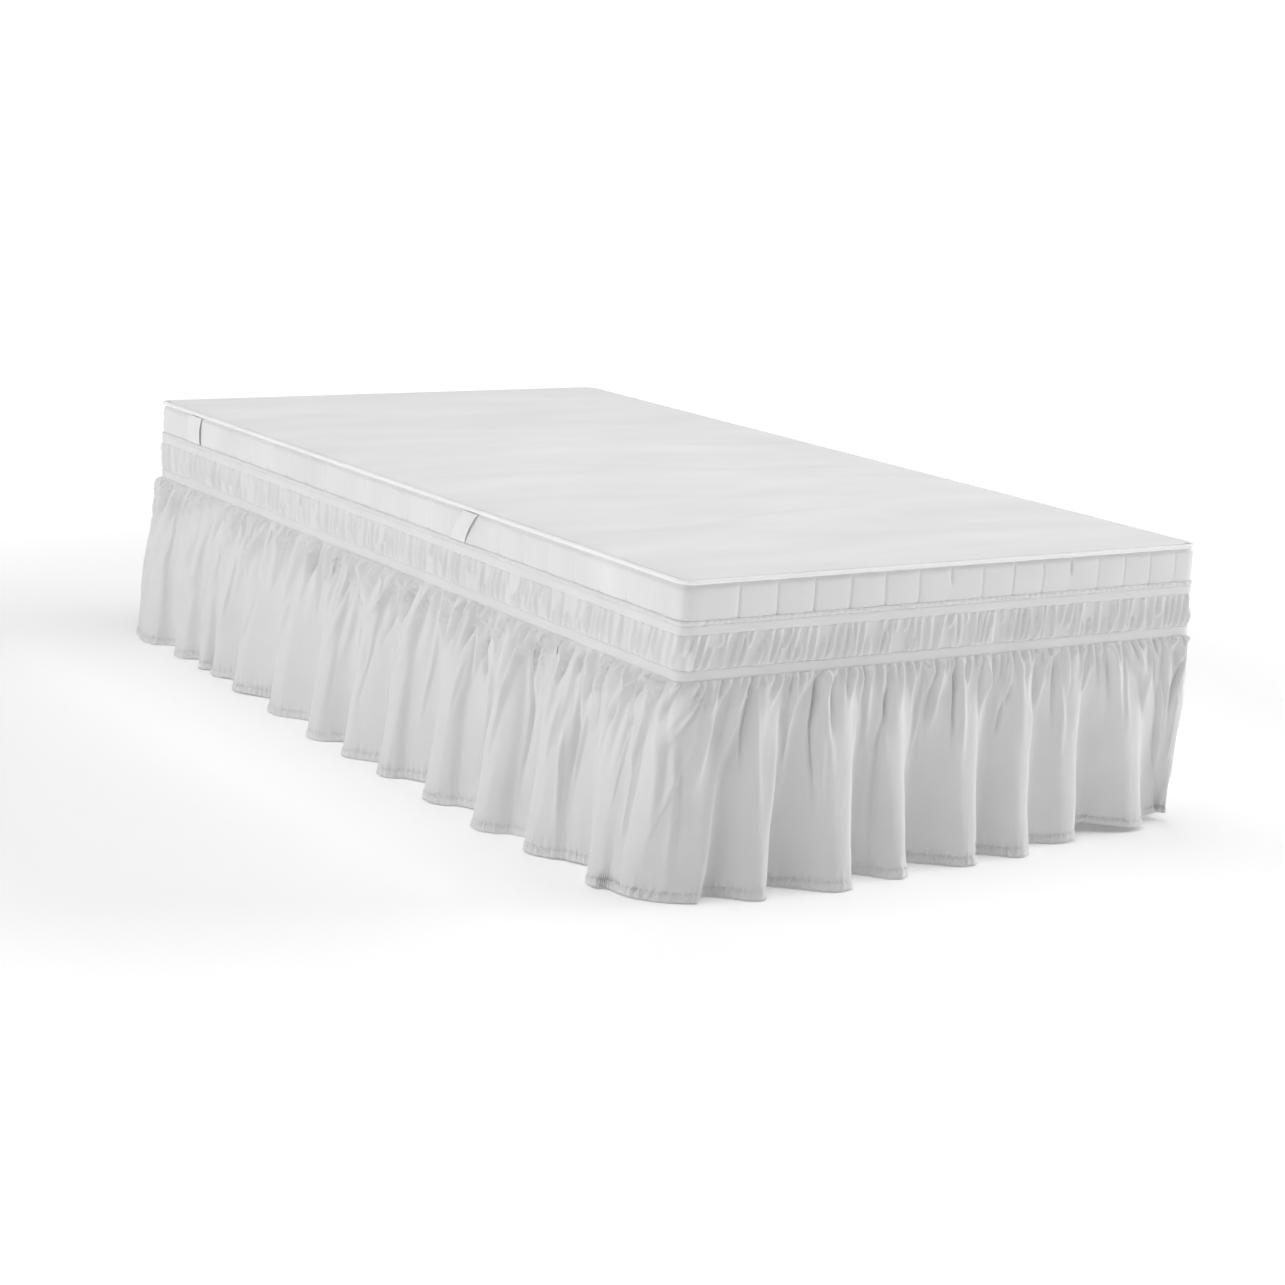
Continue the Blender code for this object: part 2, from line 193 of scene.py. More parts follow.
def shaped_grid(name: str, surface: np.ndarray, uv: np.ndarray) -> bpy.types.Object:
    """A grid whose points are moved onto a surface; rims that meet are welded.

    Args:
        name: name of the new object.
        surface: points of shape (rows, columns, 3). Seen from outside, columns run to the
            right and rows run up.
        uv: cloth coordinates in metres, of shape (rows, columns, 2).

    Returns:
        The new object, linked to the scene.
    """
    rows, columns = surface.shape[:2]
    bm = bmesh.new()
    bm.loops.layers.uv.new("cloth")
    bmesh.ops.create_grid(bm, x_segments=columns - 1, y_segments=rows - 1, size=0.5)
    mesh = bpy.data.meshes.new(name)
    bm.to_mesh(mesh)
    flat = np.empty(len(mesh.vertices) * 3)
    mesh.vertices.foreach_get("co", flat)
    flat = flat.reshape(-1, 3)
    i = np.rint((flat[:, 0] + 0.5) * (columns - 1)).astype(int)
    j = np.rint((flat[:, 1] + 0.5) * (rows - 1)).astype(int)
    mesh.vertices.foreach_set("co", surface[j, i].ravel())
    corners = np.empty(len(mesh.loops), dtype=np.int32)
    mesh.loops.foreach_get("vertex_index", corners)
    mesh.uv_layers["cloth"].data.foreach_set("uv", uv[j, i][corners].ravel())
    bm.clear()
    bm.from_mesh(mesh)
    rim = [v for v in bm.verts if v.is_boundary]
    bmesh.ops.remove_doubles(bm, verts=rim, dist=1e-5)
    bm.to_mesh(mesh)
    bm.free()
    return linked(name, mesh)


def linked(name: str, mesh: bpy.types.Mesh) -> bpy.types.Object:
    """Puts a smooth mesh in the scene as a new object.

    Args:
        name: name of the new object.
        mesh: its mesh.

    Returns:
        The new object.
    """
    mesh.shade_smooth()
    mesh.update()
    obj = bpy.data.objects.new(name, mesh)
    bpy.context.scene.collection.objects.link(obj)
    return obj


def thickened(obj: bpy.types.Object, thickness: float, offset: float = 0.0) -> None:
    """Gives a sheet its thickness; offset -1 puts it all inside, 0 half on each face.

    Args:
        obj: the sheet.
        thickness: how thick it gets.
        offset: -1 puts the thickness all inside, 0 half on each face.
    """
    solid = obj.modifiers.new("thickness", "SOLIDIFY")
    solid.thickness = thickness
    solid.offset = offset
    solid.use_even_offset = False


def dressed(obj: bpy.types.Object, material: bpy.types.Material, slot: str, *nodes: str) -> None:
    """Gives a new piece its finish and its body, hides the nodes it stands for, and logs its slot.

    Args:
        obj: the new piece.
        material: its finish.
        slot: the slot's name, which is only logged.
        nodes: the nodes it stands for.
    """
    obj.data.materials.clear()
    obj.data.materials.append(material)
    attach(obj, BODY)
    if nodes:
        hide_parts(*nodes)
    triangles = sum(len(p.vertices) - 2 for p in obj.data.polygons)
    LOG.info("%s: %d triangles before its thickness, slot %s", obj.name, triangles, slot)


# ------------------------------------------------------------------ the skirt


@dataclass(frozen=True)
class Turn:
    """Where the ruffle turns, at a crest or in a hollow, and how far out it is at the hem.

    Places run along the side from the foot's left corner. The lean is how much farther from
    that corner the turn starts at the band than it ends at the hem.
    """

    hem_at: float
    out: float
    lean: float


FOOT_TURNS = (
    Turn(-0.030, 0.079, 0.002), Turn(0.006, 0.068, 0.055), Turn(0.024, 0.052, 0.076),
    Turn(0.033, 0.043, 0.073), Turn(0.102, 0.097, 0.074),
    Turn(0.140, 0.035, 0.063), Turn(0.243, 0.107, 0.056),
    Turn(0.300, 0.032, 0.038), Turn(0.360, 0.089, 0.020),
    Turn(0.415, 0.015, 0.024), Turn(0.504, 0.077, 0.028),
    Turn(0.552, 0.025, 0.028), Turn(0.611, 0.070, 0.030),
    Turn(0.665, 0.008, 0.015), Turn(0.732, 0.035, 0.000),
    Turn(0.797, -0.007, -0.014), Turn(0.882, 0.024, -0.035),
)
LONG_TURNS = (
    Turn(0.070, 0.097, 0.075), Turn(0.150, 0.042, 0.076),
    Turn(0.257, 0.097, 0.078), Turn(0.310, 0.042, 0.079),
    Turn(0.398, 0.107, 0.080), Turn(0.475, 0.038, 0.079),
    Turn(0.572, 0.100, 0.078), Turn(0.655, 0.033, 0.076),
    Turn(0.745, 0.098, 0.074), Turn(0.803, 0.048, 0.071),
    Turn(0.878, 0.098, 0.068), Turn(0.938, 0.042, 0.064),
    Turn(1.016, 0.098, 0.060), Turn(1.105, 0.028, 0.056),
    Turn(1.196, 0.083, 0.052), Turn(1.285, 0.026, 0.047),
    Turn(1.374, 0.073, 0.042), Turn(1.440, 0.024, 0.038),
    Turn(1.508, 0.061, 0.034), Turn(1.540, 0.036, 0.031),
    Turn(1.568, 0.060, 0.028), Turn(1.620, 0.024, 0.023),
    Turn(1.682, 0.061, 0.018), Turn(1.748, 0.022, 0.012),
    Turn(1.822, 0.065, 0.005), Turn(1.957, 0.034, 0.020),
)

# The turns past the last fold at the foot's right corner, where the cloth hangs close to the
# bed and a little short
CORNER_TURNS = (
    Turn(0.958, -0.040, -0.078), Turn(0.986, -0.006, -0.008),
    Turn(1.020, -0.020, 0.0), Turn(1.075, 0.030, 0.010),
)
CORNER_SPAN = (0.93, 1.12)
# the hem's height off the floor past the foot's right corner, along the walk
LIFT_AT = (0.70, 0.75, 0.80, 0.90, 0.96, 1.02, 1.10, 1.25)
LIFT_BY = (0.0, 0.004, 0.015, 0.003, 0.011, 0.012, 0.006, 0.0)


@dataclass(frozen=True)
class Crease:
    """A trough or ridge in the ruffle, along a path of (place at the band, share of the drop).

    The height is positive for a ridge and negative for a trough.
    """

    height: float
    width: float
    path: tuple[tuple[float, float], ...]

    def centre(self, depth: np.ndarray) -> np.ndarray:
        """Its place on the walk at each depth."""
        at, share = np.array(self.path).T
        return np.interp(depth, share, at)

    def strength(self, depth: np.ndarray) -> np.ndarray:
        """How much of its height it has at each depth, fading at both ends.

        Args:
            depth: shares of the drop, one for each row.

        Returns:
            Shares of its height, one for each row.
        """
        top, low = self.path[0][1], self.path[-1][1]
        ease = 0.22 * (low - top)
        rise = smooth((depth - top + ease) / (1.5 * ease)) if top > 0.04 else smooth(depth / 0.02)
        fall = faded(depth, low - 2 * ease, low + ease) if low < 0.97 else 1.0
        return rise * fall


@dataclass(frozen=True)
class FoldKind:
    """One kind of small fold: how often it comes, and how tall and wide it may be."""

    pitch: float
    jitter: float
    tall: tuple[float, float]
    wide: tuple[float, float]


MIDDLE_FOLDS = FoldKind(0.043, 0.30, (0.0034, 0.0072), (0.0080, 0.0120))
FINE_GATHERS = FoldKind(0.0142, 0.42, (0.0054, 0.0100), (0.0030, 0.0044))
VALLEYS = FoldKind(0.045, 0.45, (0.0042, 0.0085), (0.0030, 0.0044))
THIN_RIDGES = FoldKind(0.064, 0.40, (0.0040, 0.0070), (0.0032, 0.0050))
SHIRRING_RIBS = FoldKind(0.0130, 0.48, (0.60, 1.20), (0.0023, 0.0035))   # tall as a share


@dataclass
class SkirtShape:
    """The shape of the whole skirt as functions of the walk at the band and the height."""

    ruffle_top: float = 0.3165
    lower_band_top: float = 0.3325
    upper_band_top: float = 0.3998
    band_height: float = 0.016
    upper_band_height: float = 0.0145
    frill_top: float = 0.4063
    cloth_out: float = 0.0012       # middle of the cloth where the bands hold it
    puff: float = 0.0065            # swell of the gathers just below the lower band
    puff_reach: float = 0.05        # share of the drop in which it swells
    growth_power: float = 0.85      # below 1, the folds open early
    lean_power: float = 0.70        # below 1, the folds do most of their leaning high up
    roundness: float = 0.62         # 0 gives sine folds, nearly 1 gives round crests
    wide_roundness: float = 0.10
    strip: float = 0.12             # share of a fold's wide face that is its flat crest
    strip_growth: float = 0.22      # how much more of it is at the band
    crest_blur: float = 0.0042
    tuck_power: float = 2.2         # cloth that hangs in under the bed does so low down
    column: float = 0.0020          # spacing of the columns at the band
    fullness: float = 1.42          # cloth gathered into each metre of band
    gather_height: float = 0.0090
    gather_power: float = 0.75
    hem_row: float = 0.962          # share of the drop where the hem's stitches are
    hem_groove: float = 0.0009      # how far the stitches draw the cloth in
    hem_turn: float = 0.0013        # how far the doubled cloth under them stands out
    hem_pucker: float = 0.0017
    hem_puckers: int = 590          # round the bed
    scallops: int = 470             # waves of the frill's edge round the bed
    scallop_depth: float = 0.0018
    frill_flare: float = 0.0010     # how far the frill opens outwards
    rib_height: float = 0.0074      # of a whole rib of the shirring
    rib_power: float = 0.7          # below 1, the ribs are round with sharp valleys
    shirring_roundness: float = 0.36   # low values fill the shirring out close to its bands
    seed: int = 41

    def __post_init__(self) -> None:
        """Works out the columns and the folds once."""
        self.count = int(round(OUTLINE.whole / self.column))
        self.at = np.arange(self.count) * OUTLINE.whole / self.count
        self._place_folds()

    @staticmethod
    def _turns() -> list[tuple[float, float, float]]:
        """Every turn round the bed as (place at the band, place at the hem, out).

        Returns:
            The turns in the order of their places at the band.
        """
        half = [(turn.hem_at, turn.lean, turn.out) for turn in FOOT_TURNS]
        half += [(-turn.hem_at, -turn.lean, turn.out) for turn in LONG_TURNS]
        # the head and the right side carry the same folds, turned half round
        turns = [((at + turned) % OUTLINE.whole, lean, out)
                 for turned in (0.0, OUTLINE.half) for at, lean, out in half]
        turns = [turn for turn in turns if not CORNER_SPAN[0] < turn[0] < CORNER_SPAN[1]]
        turns += [(turn.hem_at, turn.lean, turn.out) for turn in CORNER_TURNS]
        return sorted(((at + lean) % OUTLINE.whole, at, out) for at, lean, out in turns)

    def _place_folds(self) -> None:
        """Finds, for each column, its place at the hem and where it is between two turns."""
        tops, hems, outs = np.array(self._turns()).T
        which = np.searchsorted(tops, self.at, side="right") - 1
        after = (which + 1) % len(tops)
        span_top = (tops[after] - tops[which]) % OUTLINE.whole
        span_hem = (hems[after] - hems[which]) % OUTLINE.whole
        u = ((self.at - tops[which]) % OUTLINE.whole) / span_top
        # each fold has a wide straight face and a narrow side that doubles back behind it
        spans = (np.roll(hems, -1) - hems) % OUTLINE.whole
        rising = outs[after] > outs[which]
        crest = np.where(rising, after, which)
        self.wide = rising == (spans[crest - 1] > spans[crest])
        round_by = np.where(self.wide, self.wide_roundness, self.roundness)
        eased = u + round_by * np.sin(2 * np.pi * u) / (2 * np.pi)
        self.shift = OUTLINE.gap(hems[which] + span_hem * eased, self.at)
        self.climb = np.where(rising, u, 1 - u)          # 0 in the hollow, 1 on the crest
        self.low = np.minimum(outs[which], outs[after])
        self.high = np.maximum(outs[which], outs[after])

    def out_at(self, t: np.ndarray) -> np.ndarray:
        """How far out each column would hang at the hem, as it is shaped at a depth.

        Args:
            t: shares of the drop, of shape (rows, 1).

        Returns:
            Distances of shape (rows, columns).
        """
        strip = np.where(self.wide, self.strip + self.strip_growth * (1 - t), 0.04)
        straight = np.clip(self.climb / (1 - strip), 0, 1)
        doubled = 0.5 - 0.5 * np.cos(np.pi * straight)
        return blurred(self.low + (self.high - self.low) * np.where(self.wide, straight, doubled),
                       self.crest_blur / self.column)

    def rows(self) -> np.ndarray:
        """Depths of the ruffle's rows, from under the lower band to the hem.

        Returns:
            Shares of the drop, from above the band's edge down.
        """
        top = np.array([-0.027, -0.008, 0.0, 0.006, 0.013, 0.021, 0.030, 0.040, 0.052])
        middle = 0.052 + (0.95 - 0.052) * np.linspace(0, 1, 30)[1:] ** 0.97
        hem = np.array([self.hem_row, 0.9705, 0.984, 0.993, 1.0])
        return np.concatenate([top, middle, hem])

    def gathers(self, depth: np.ndarray) -> np.ndarray:
        """Height of the small gathers, mid-sized folds and wedges over the big folds.

        Args:
            depth: shares of the drop, one for each row.

        Returns:
            Heights of shape (rows, columns).
        """
        rng = np.random.default_rng(self.seed)
        height = np.zeros((len(depth), self.count))
        middles = self._spread(rng, MIDDLE_FOLDS)
        self._add_middle_folds(height, depth, middles, rng)
        fine = self._fine_gathers(depth, middles, rng)
        # a power below 1 keeps the ridges round and draws the valleys between them sharp
        height += self.gather_height * (fine / self.gather_height) ** self.gather_power
        self._add_valleys(height, depth, rng)
        self._add_thin_ridges(height, depth, rng)
        self._add_creases(height, depth)
        return height

    def _add_middle_folds(self, height: np.ndarray, depth: np.ndarray, middles: np.ndarray,
                          rng: np.random.Generator) -> None:
        """Adds mid-sized folds, which run from near the band part of the way down.

        Args:
            height: heights of shape (rows, columns), which are changed.
            depth: shares of the drop, one for each row.
            middles: the folds' places at the band.
            rng: the random numbers, drawn in a fixed order.
        """
        for at in middles:
            lean, long_side = self._lean(at)
            reach, grown = rng.uniform(0.34, 0.85), rng.uniform(0.05, 0.14)
            tall = rng.uniform(*MIDDLE_FOLDS.tall) * (1 + 0.5 * long_side)
            wide = rng.uniform(*MIDDLE_FOLDS.wide) * (1 - 0.2 * long_side)
            drift = rng.uniform(-0.010, 0.010) + 0.6 * lean
            swell = smooth(depth / grown) * faded(depth, 0.3 * reach, reach)
            self._add_ridge(height, at + drift * depth, tall * swell, wide * (1 + 0.7 * depth),
                            0.35 * long_side)

    def _fine_gathers(self, depth: np.ndarray, middles: np.ndarray,
                      rng: np.random.Generator) -> np.ndarray:
        """Heights of the finest gathers, which are drawn towards the mid-sized folds.

        Args:
            depth: shares of the drop, one for each row.
            middles: the mid-sized folds' places at the band.
            rng: the random numbers, drawn in a fixed order.

        Returns:
            Heights of shape (rows, columns).
        """
        fine = np.zeros((len(depth), self.count))
        for at in self._spread(rng, FINE_GATHERS):
            lean, long_side = self._lean(at)
            reach = (0.05 + 0.26 * rng.uniform(0, 1) ** 1.6) * (1 + 0.35 * long_side)
            tall = rng.uniform(*FINE_GATHERS.tall) * (1.15 + 0.35 * long_side)
            wide = rng.uniform(*FINE_GATHERS.wide)
            if rng.uniform(0, 1) < 0.25 * long_side:
                continue
            gaps = OUTLINE.gap(middles, at)
            pull = gaps[np.argmin(np.abs(gaps))] * rng.uniform(0.35, 0.9)
            along = smooth(depth / reach)
            swell = smooth((depth + 0.003) / 0.020) * faded(depth, 0.2 * reach, reach)
            self._add_ridge(fine, at + pull * along + lean * depth, tall * swell,
                            wide * (1 + 0.6 * along), 0.40 * long_side)
        return fine

    def _add_valleys(self, height: np.ndarray, depth: np.ndarray,
                     rng: np.random.Generator) -> None:
        """Draws in sharp valleys between the gathers, shallow ones at the near corner.

        Args:
            height: heights of shape (rows, columns), which are changed.
            depth: shares of the drop, one for each row.
            rng: the random numbers, drawn in a fixed order.
        """
        for at in self._spread(rng, VALLEYS):
            lean, long_side = self._lean(at)
            reach = rng.uniform(0.18, 0.46)
            deep = rng.uniform(*VALLEYS.tall) * (0.9 + 1.1 * long_side)
            wide = rng.uniform(*VALLEYS.wide)
            drift = rng.uniform(-0.008, 0.008) + lean
            swell = smooth((depth - 0.01) / 0.05) * faded(depth, 0.4 * reach, reach)
            deep = deep * (1 - 0.8 * math.exp(-(OUTLINE.gap(at, 0.04) / 0.07) ** 2))
            self._add_ridge(height, at + drift * depth, -deep * swell, wide * (1 + 0.5 * depth),
                            -0.4 * long_side)

    def _add_thin_ridges(self, height: np.ndarray, depth: np.ndarray,
                         rng: np.random.Generator) -> None:
        """Adds long thin ridges over the faces of the big folds.

        Args:
            height: heights of shape (rows, columns), which are changed.
            depth: shares of the drop, one for each row.
            rng: the random numbers, drawn in a fixed order.
        """
        for at in self._spread(rng, THIN_RIDGES):
            lean, long_side = self._lean(at)
            start, reach = rng.uniform(0.02, 0.30), rng.uniform(0.30, 0.62)
            tall = rng.uniform(*THIN_RIDGES.tall) * (0.55 + 0.35 * long_side)
            wide = rng.uniform(*THIN_RIDGES.wide)
            inside = (depth - start) / reach
            swell = smooth(inside / 0.25) * faded(inside, 0.5, 1.0)
            self._add_ridge(height, at + 0.4 * lean * depth, tall * swell,
                            np.full(len(depth), wide), 0.4 * long_side)

    def _add_creases(self, height: np.ndarray, depth: np.ndarray) -> None:
        """Adds the listed creases, and again turned half round for the head and right side.

        Args:
            height: heights of shape (rows, columns), which are changed.
            depth: shares of the drop, one for each row.
        """
        for turned in (0.0, OUTLINE.half):
            for crease in CREASES:
                first = (crease.path[0][0] + turned) % OUTLINE.whole
                if turned and CORNER_SPAN[0] < first < CORNER_SPAN[1]:
                    continue
                self._add_ridge(height, crease.centre(depth) + turned,
                                crease.height * crease.strength(depth),
                                np.full(len(depth), crease.width),
                                math.copysign(0.35 * self._lean(first)[1], crease.height))

    @staticmethod
    def _lean(at: float) -> tuple[float, float]:
        """How far a gather drifts over the whole drop, and how much it is on a long side."""
        lean = float(np.interp(at % OUTLINE.half, LEAN_AT, LEAN_BY))
        return lean, min(1.0, -lean / 0.16)

    @staticmethod
    def _spread(rng: np.random.Generator, kind: FoldKind) -> np.ndarray:
        """Uneven places round the bed for one kind of fold, about its pitch apart.

        Args:
            rng: the random numbers, drawn in a fixed order.
            kind: the kind of fold.

        Returns:
            Places on the walk.
        """
        steps = 1 + rng.uniform(-kind.jitter, kind.jitter, int(round(OUTLINE.whole / kind.pitch)))
        even = np.cumsum(steps) / steps.sum() * OUTLINE.whole
        return (even + rng.uniform(0, kind.pitch)) % OUTLINE.whole

    def _add_ridge(self, height: np.ndarray, centre: np.ndarray, tall: np.ndarray,
                   wide: np.ndarray, lop: float = 0.0) -> None:
        """Adds one ridge, or trough if it is negative, to the heights.

        Args:
            height: heights of shape (rows, columns), which are changed.
            centre: the ridge's place on the walk in each row.
            tall: its height in each row.
            wide: its half width in each row.
            lop: how lopsided it is; above 0 it rises slowly along the walk and falls fast.
        """
        step = OUTLINE.whole / self.count
        reach = int(2.6 * (1 + abs(lop)) * float(np.max(wide)) / step) + 1
        nearest = np.rint(centre / step).astype(int)
        window = nearest[:, None] + np.arange(-reach, reach + 1)[None, :]
        away = (window * step - centre[:, None]) / wide[:, None]
        away = away / np.where(away < 0, 1 + lop, 1 - lop)
        rows = np.arange(len(centre))[:, None]
        np.add.at(height, (rows, window % self.count), tall[:, None] * np.exp(-away ** 2))

    def crumple(self, depth: np.ndarray) -> np.ndarray:
        """Faint wrinkles of the loose cloth, stronger in some places than in others.

        Args:
            depth: shares of the drop, one for each row.

        Returns:
            Heights of shape (rows, columns).
        """
        x = self.at / OUTLINE.whole
        z = depth[:, None] * self.ruffle_top
        patch = 0.35 + 0.65 * smooth(value_noise(x * 26, z / 0.16, self.seed + 1, 26) + 0.5)
        coarse = value_noise(x * 170 + 0.8 * z / 0.05, z / 0.055, self.seed + 2, 170)
        fine = value_noise(x * 360 - 0.9 * z / 0.03, z / 0.028, self.seed + 3, 360)
        return smooth(depth[:, None] / 0.25) * patch * (0.0020 * coarse + 0.0008 * fine)

    def ruffle(self) -> tuple[np.ndarray, np.ndarray]:
        """The ruffle's middle surface and its cloth coordinates, rows from hem to band.

        Returns:
            Points of shape (rows, columns + 1, 3), whose last column repeats the first one,
            and cloth coordinates of shape (rows, columns + 1, 2).
        """
        depth = self.rows()
        t = np.clip(depth, 0, None)[:, None]
        puff = self.puff * (1 - np.exp(-t / self.puff_reach))
        grown = self.out_at(t) - self.puff
        grown = np.where(grown > 0, grown * t ** self.growth_power, grown * t ** self.tuck_power)
        reach = self.cloth_out + 0.45 * puff + grown
        at = self.at + self.shift * t ** self.lean_power
        ring = OUTLINE.place(at, reach)
        ahead = blurred(np.moveaxis(np.roll(ring, -1, 1) - np.roll(ring, 1, 1), -1, 0), 2.0)
        ahead /= np.maximum(np.hypot(ahead[0], ahead[1]), 1e-9)
        normal = np.stack([ahead[1], -ahead[0]], -1)
        relief = self.gathers(np.clip(depth, 0, None)) * (depth[:, None] > 0)
        relief = relief + self.crumple(depth)
        lowest = 0.0014 - reach - 0.02 * smooth((t - 0.12) / 0.2)
        relief = np.maximum(relief, lowest) * (depth[:, None] > 0)
        ring = ring + normal * (relief + self._hem(depth))[..., None]
        lift = np.interp(at % OUTLINE.whole, LIFT_AT, LIFT_BY) + self._hem_wave()
        z = self.ruffle_top * (1 - depth[:, None]) + lift * t ** 2
        points = np.concatenate([ring, z[..., None]], -1)
        uv = np.stack(np.broadcast_arrays(self.at * self.fullness,
                                          self.ruffle_top * (1 - depth[:, None])), -1)
        return self._closed(points[::-1]), self._closed(uv[::-1], OUTLINE.whole * self.fullness)

    def _hem(self, depth: np.ndarray) -> np.ndarray:
        """The turned hem: thicker cloth under a drawn-in row of stitches, which puckers it.

        Args:
            depth: shares of the drop, one for each row.

        Returns:
            Distances out of shape (rows, columns).
        """
        x = self.at / OUTLINE.whole
        turned = self.hem_turn * smooth((depth - self.hem_row) / 0.008)
        turned -= self.hem_groove * np.exp(-((depth - self.hem_row) / 0.005) ** 2)
        uneven = value_noise(x * 160, np.zeros(1), self.seed + 5, 160)
        tight = 0.55 + 0.45 * value_noise(x * 70, np.zeros(1), self.seed + 7, 70)
        pucker = tight * np.sin(2 * np.pi * (x * self.hem_puckers + 0.9 * uneven))
        shown = self.hem_pucker * smooth((depth[:, None] - 0.905) / 0.05)
        return turned[:, None] + shown * pucker

    def _hem_wave(self) -> np.ndarray:
        """How far the hem's edge rises off the floor, unevenly, by a millimetre or two.

        Returns:
            A height for each column.
        """
        x = self.at / OUTLINE.whole
        edge = 0.0012 * (1 + value_noise(x * 64, np.zeros(1), self.seed + 4, 64))
        return edge + 0.0005 * (1 + value_noise(x * 330, np.zeros(1), self.seed + 6, 330))

    @staticmethod
    def _closed(values: np.ndarray, round_it: float = 0.0) -> np.ndarray:
        """Repeats the first column at the end, with its first coordinate moved on.

        Args:
            values: an array of shape (rows, columns, parts).
            round_it: how far the first coordinate moves on.

        Returns:
            The array with one more column.
        """
        first = values[:, :1].copy()
        first[..., 0] += round_it
        return np.concatenate([values, first], 1)

    def _ribs(self, share: np.ndarray) -> np.ndarray:
        """Ribs of the shirred zone, which slant and run into each other.

        Args:
            share: shares of the way up the zone, one for each row.

        Returns:
            Heights from 0 to about 1.3, of shape (rows, columns).
        """
        rng = np.random.default_rng(self.seed + 7)
        height = np.zeros((len(share), self.count))
        low = np.sort(self._spread(rng, SHIRRING_RIBS))
        slants = np.interp(low, SLANT_AT, SLANT_BY)
        high = low + slants + rng.uniform(-0.0050, 0.0050, len(low))
        kink = rng.uniform(-0.0030, 0.0030, len(low))
        for start, end, bend in zip(low, high, kink):
            tall = rng.uniform(*SHIRRING_RIBS.tall)
            tall = tall * (1 + 0.25 * np.sin(np.pi * (share + rng.uniform(0, 1))))
            wide = np.full(len(share), rng.uniform(*SHIRRING_RIBS.wide))
            kind, reach, side = rng.uniform(0, 1), rng.uniform(0.35, 0.75), rng.choice((-1, 1))
            if kind < 0.18:
                # a short rib that runs up from the lower band into its neighbour
                tall = tall * faded(share, 0.6 * reach, reach)
                end = end + 0.006 * side
            elif kind < 0.36:
                # and one that runs down from the upper band
                tall = tall * smooth((share - (1 - reach)) / (0.4 * reach))
                start = start + 0.006 * side
            centre = start + (end - start) * share + bend * np.sin(np.pi * share)
            self._add_ridge(height, centre, tall, wide)
        return height

    def heading(self) -> tuple[np.ndarray, np.ndarray]:
        """The shirred zone and frill, from under the lower band to the free top edge.

        Returns:
            Points and cloth coordinates, as ``ruffle`` gives them.
        """
        low, high = self.lower_band_top, self.upper_band_top - self.upper_band_height
        share = np.concatenate([[0.0, 0.02, 0.05, 0.09], np.linspace(0.15, 0.85, 11),
                                [0.91, 0.95, 0.98, 1.0]])
        shirred = low + (high - low) * share
        ribs = self._ribs(share)
        swell = np.sin(np.pi * share[:, None]) ** self.shirring_roundness
        shirred_out = self.cloth_out + swell * (0.0004 + self.rib_height * ribs ** self.rib_power)
        held = np.full((1, self.count), self.cloth_out)
        x = self.at / OUTLINE.whole
        uneven = value_noise(x * 120, np.zeros(1), 9, 120)
        scallop = 0.5 + 0.5 * np.sin(2 * np.pi * (x * self.scallops + 0.9 * uneven))
        above = self.upper_band_top + np.array([0.0, 0.0012, 0.0028, 0.0046])
        opened = np.array([0.3, 0.8, 1.0, 0.7, -0.45])[:, None]
        frill_out = self.cloth_out + opened * (self.frill_flare + self.scallop_depth * scallop)
        heights = np.concatenate([[low - self.band_height / 2], shirred,
                                  [high + self.upper_band_height / 2], above, [self.frill_top]])
        out = np.concatenate([held, shirred_out, held, frill_out])
        z = np.broadcast_to(heights[:, None], out.shape).copy()
        under_strap = np.min([np.abs(OUTLINE.gap(self.at, -at)) for at in STRAPS_AT], 0) < 0.045
        z[-1] += np.where(under_strap, -0.0008, 0.0010 * (scallop - 0.5))
        ring = OUTLINE.place(np.broadcast_to(self.at, out.shape), out)
        points = np.concatenate([ring, z[..., None]], -1)
        uv = np.stack(np.broadcast_arrays(self.at * self.fullness, heights[:, None]), -1)
        return self._closed(points), self._closed(uv, OUTLINE.whole * self.fullness)


STRAPS_AT = (0.665, 1.740)      # how far the handles are from the foot, along the left side
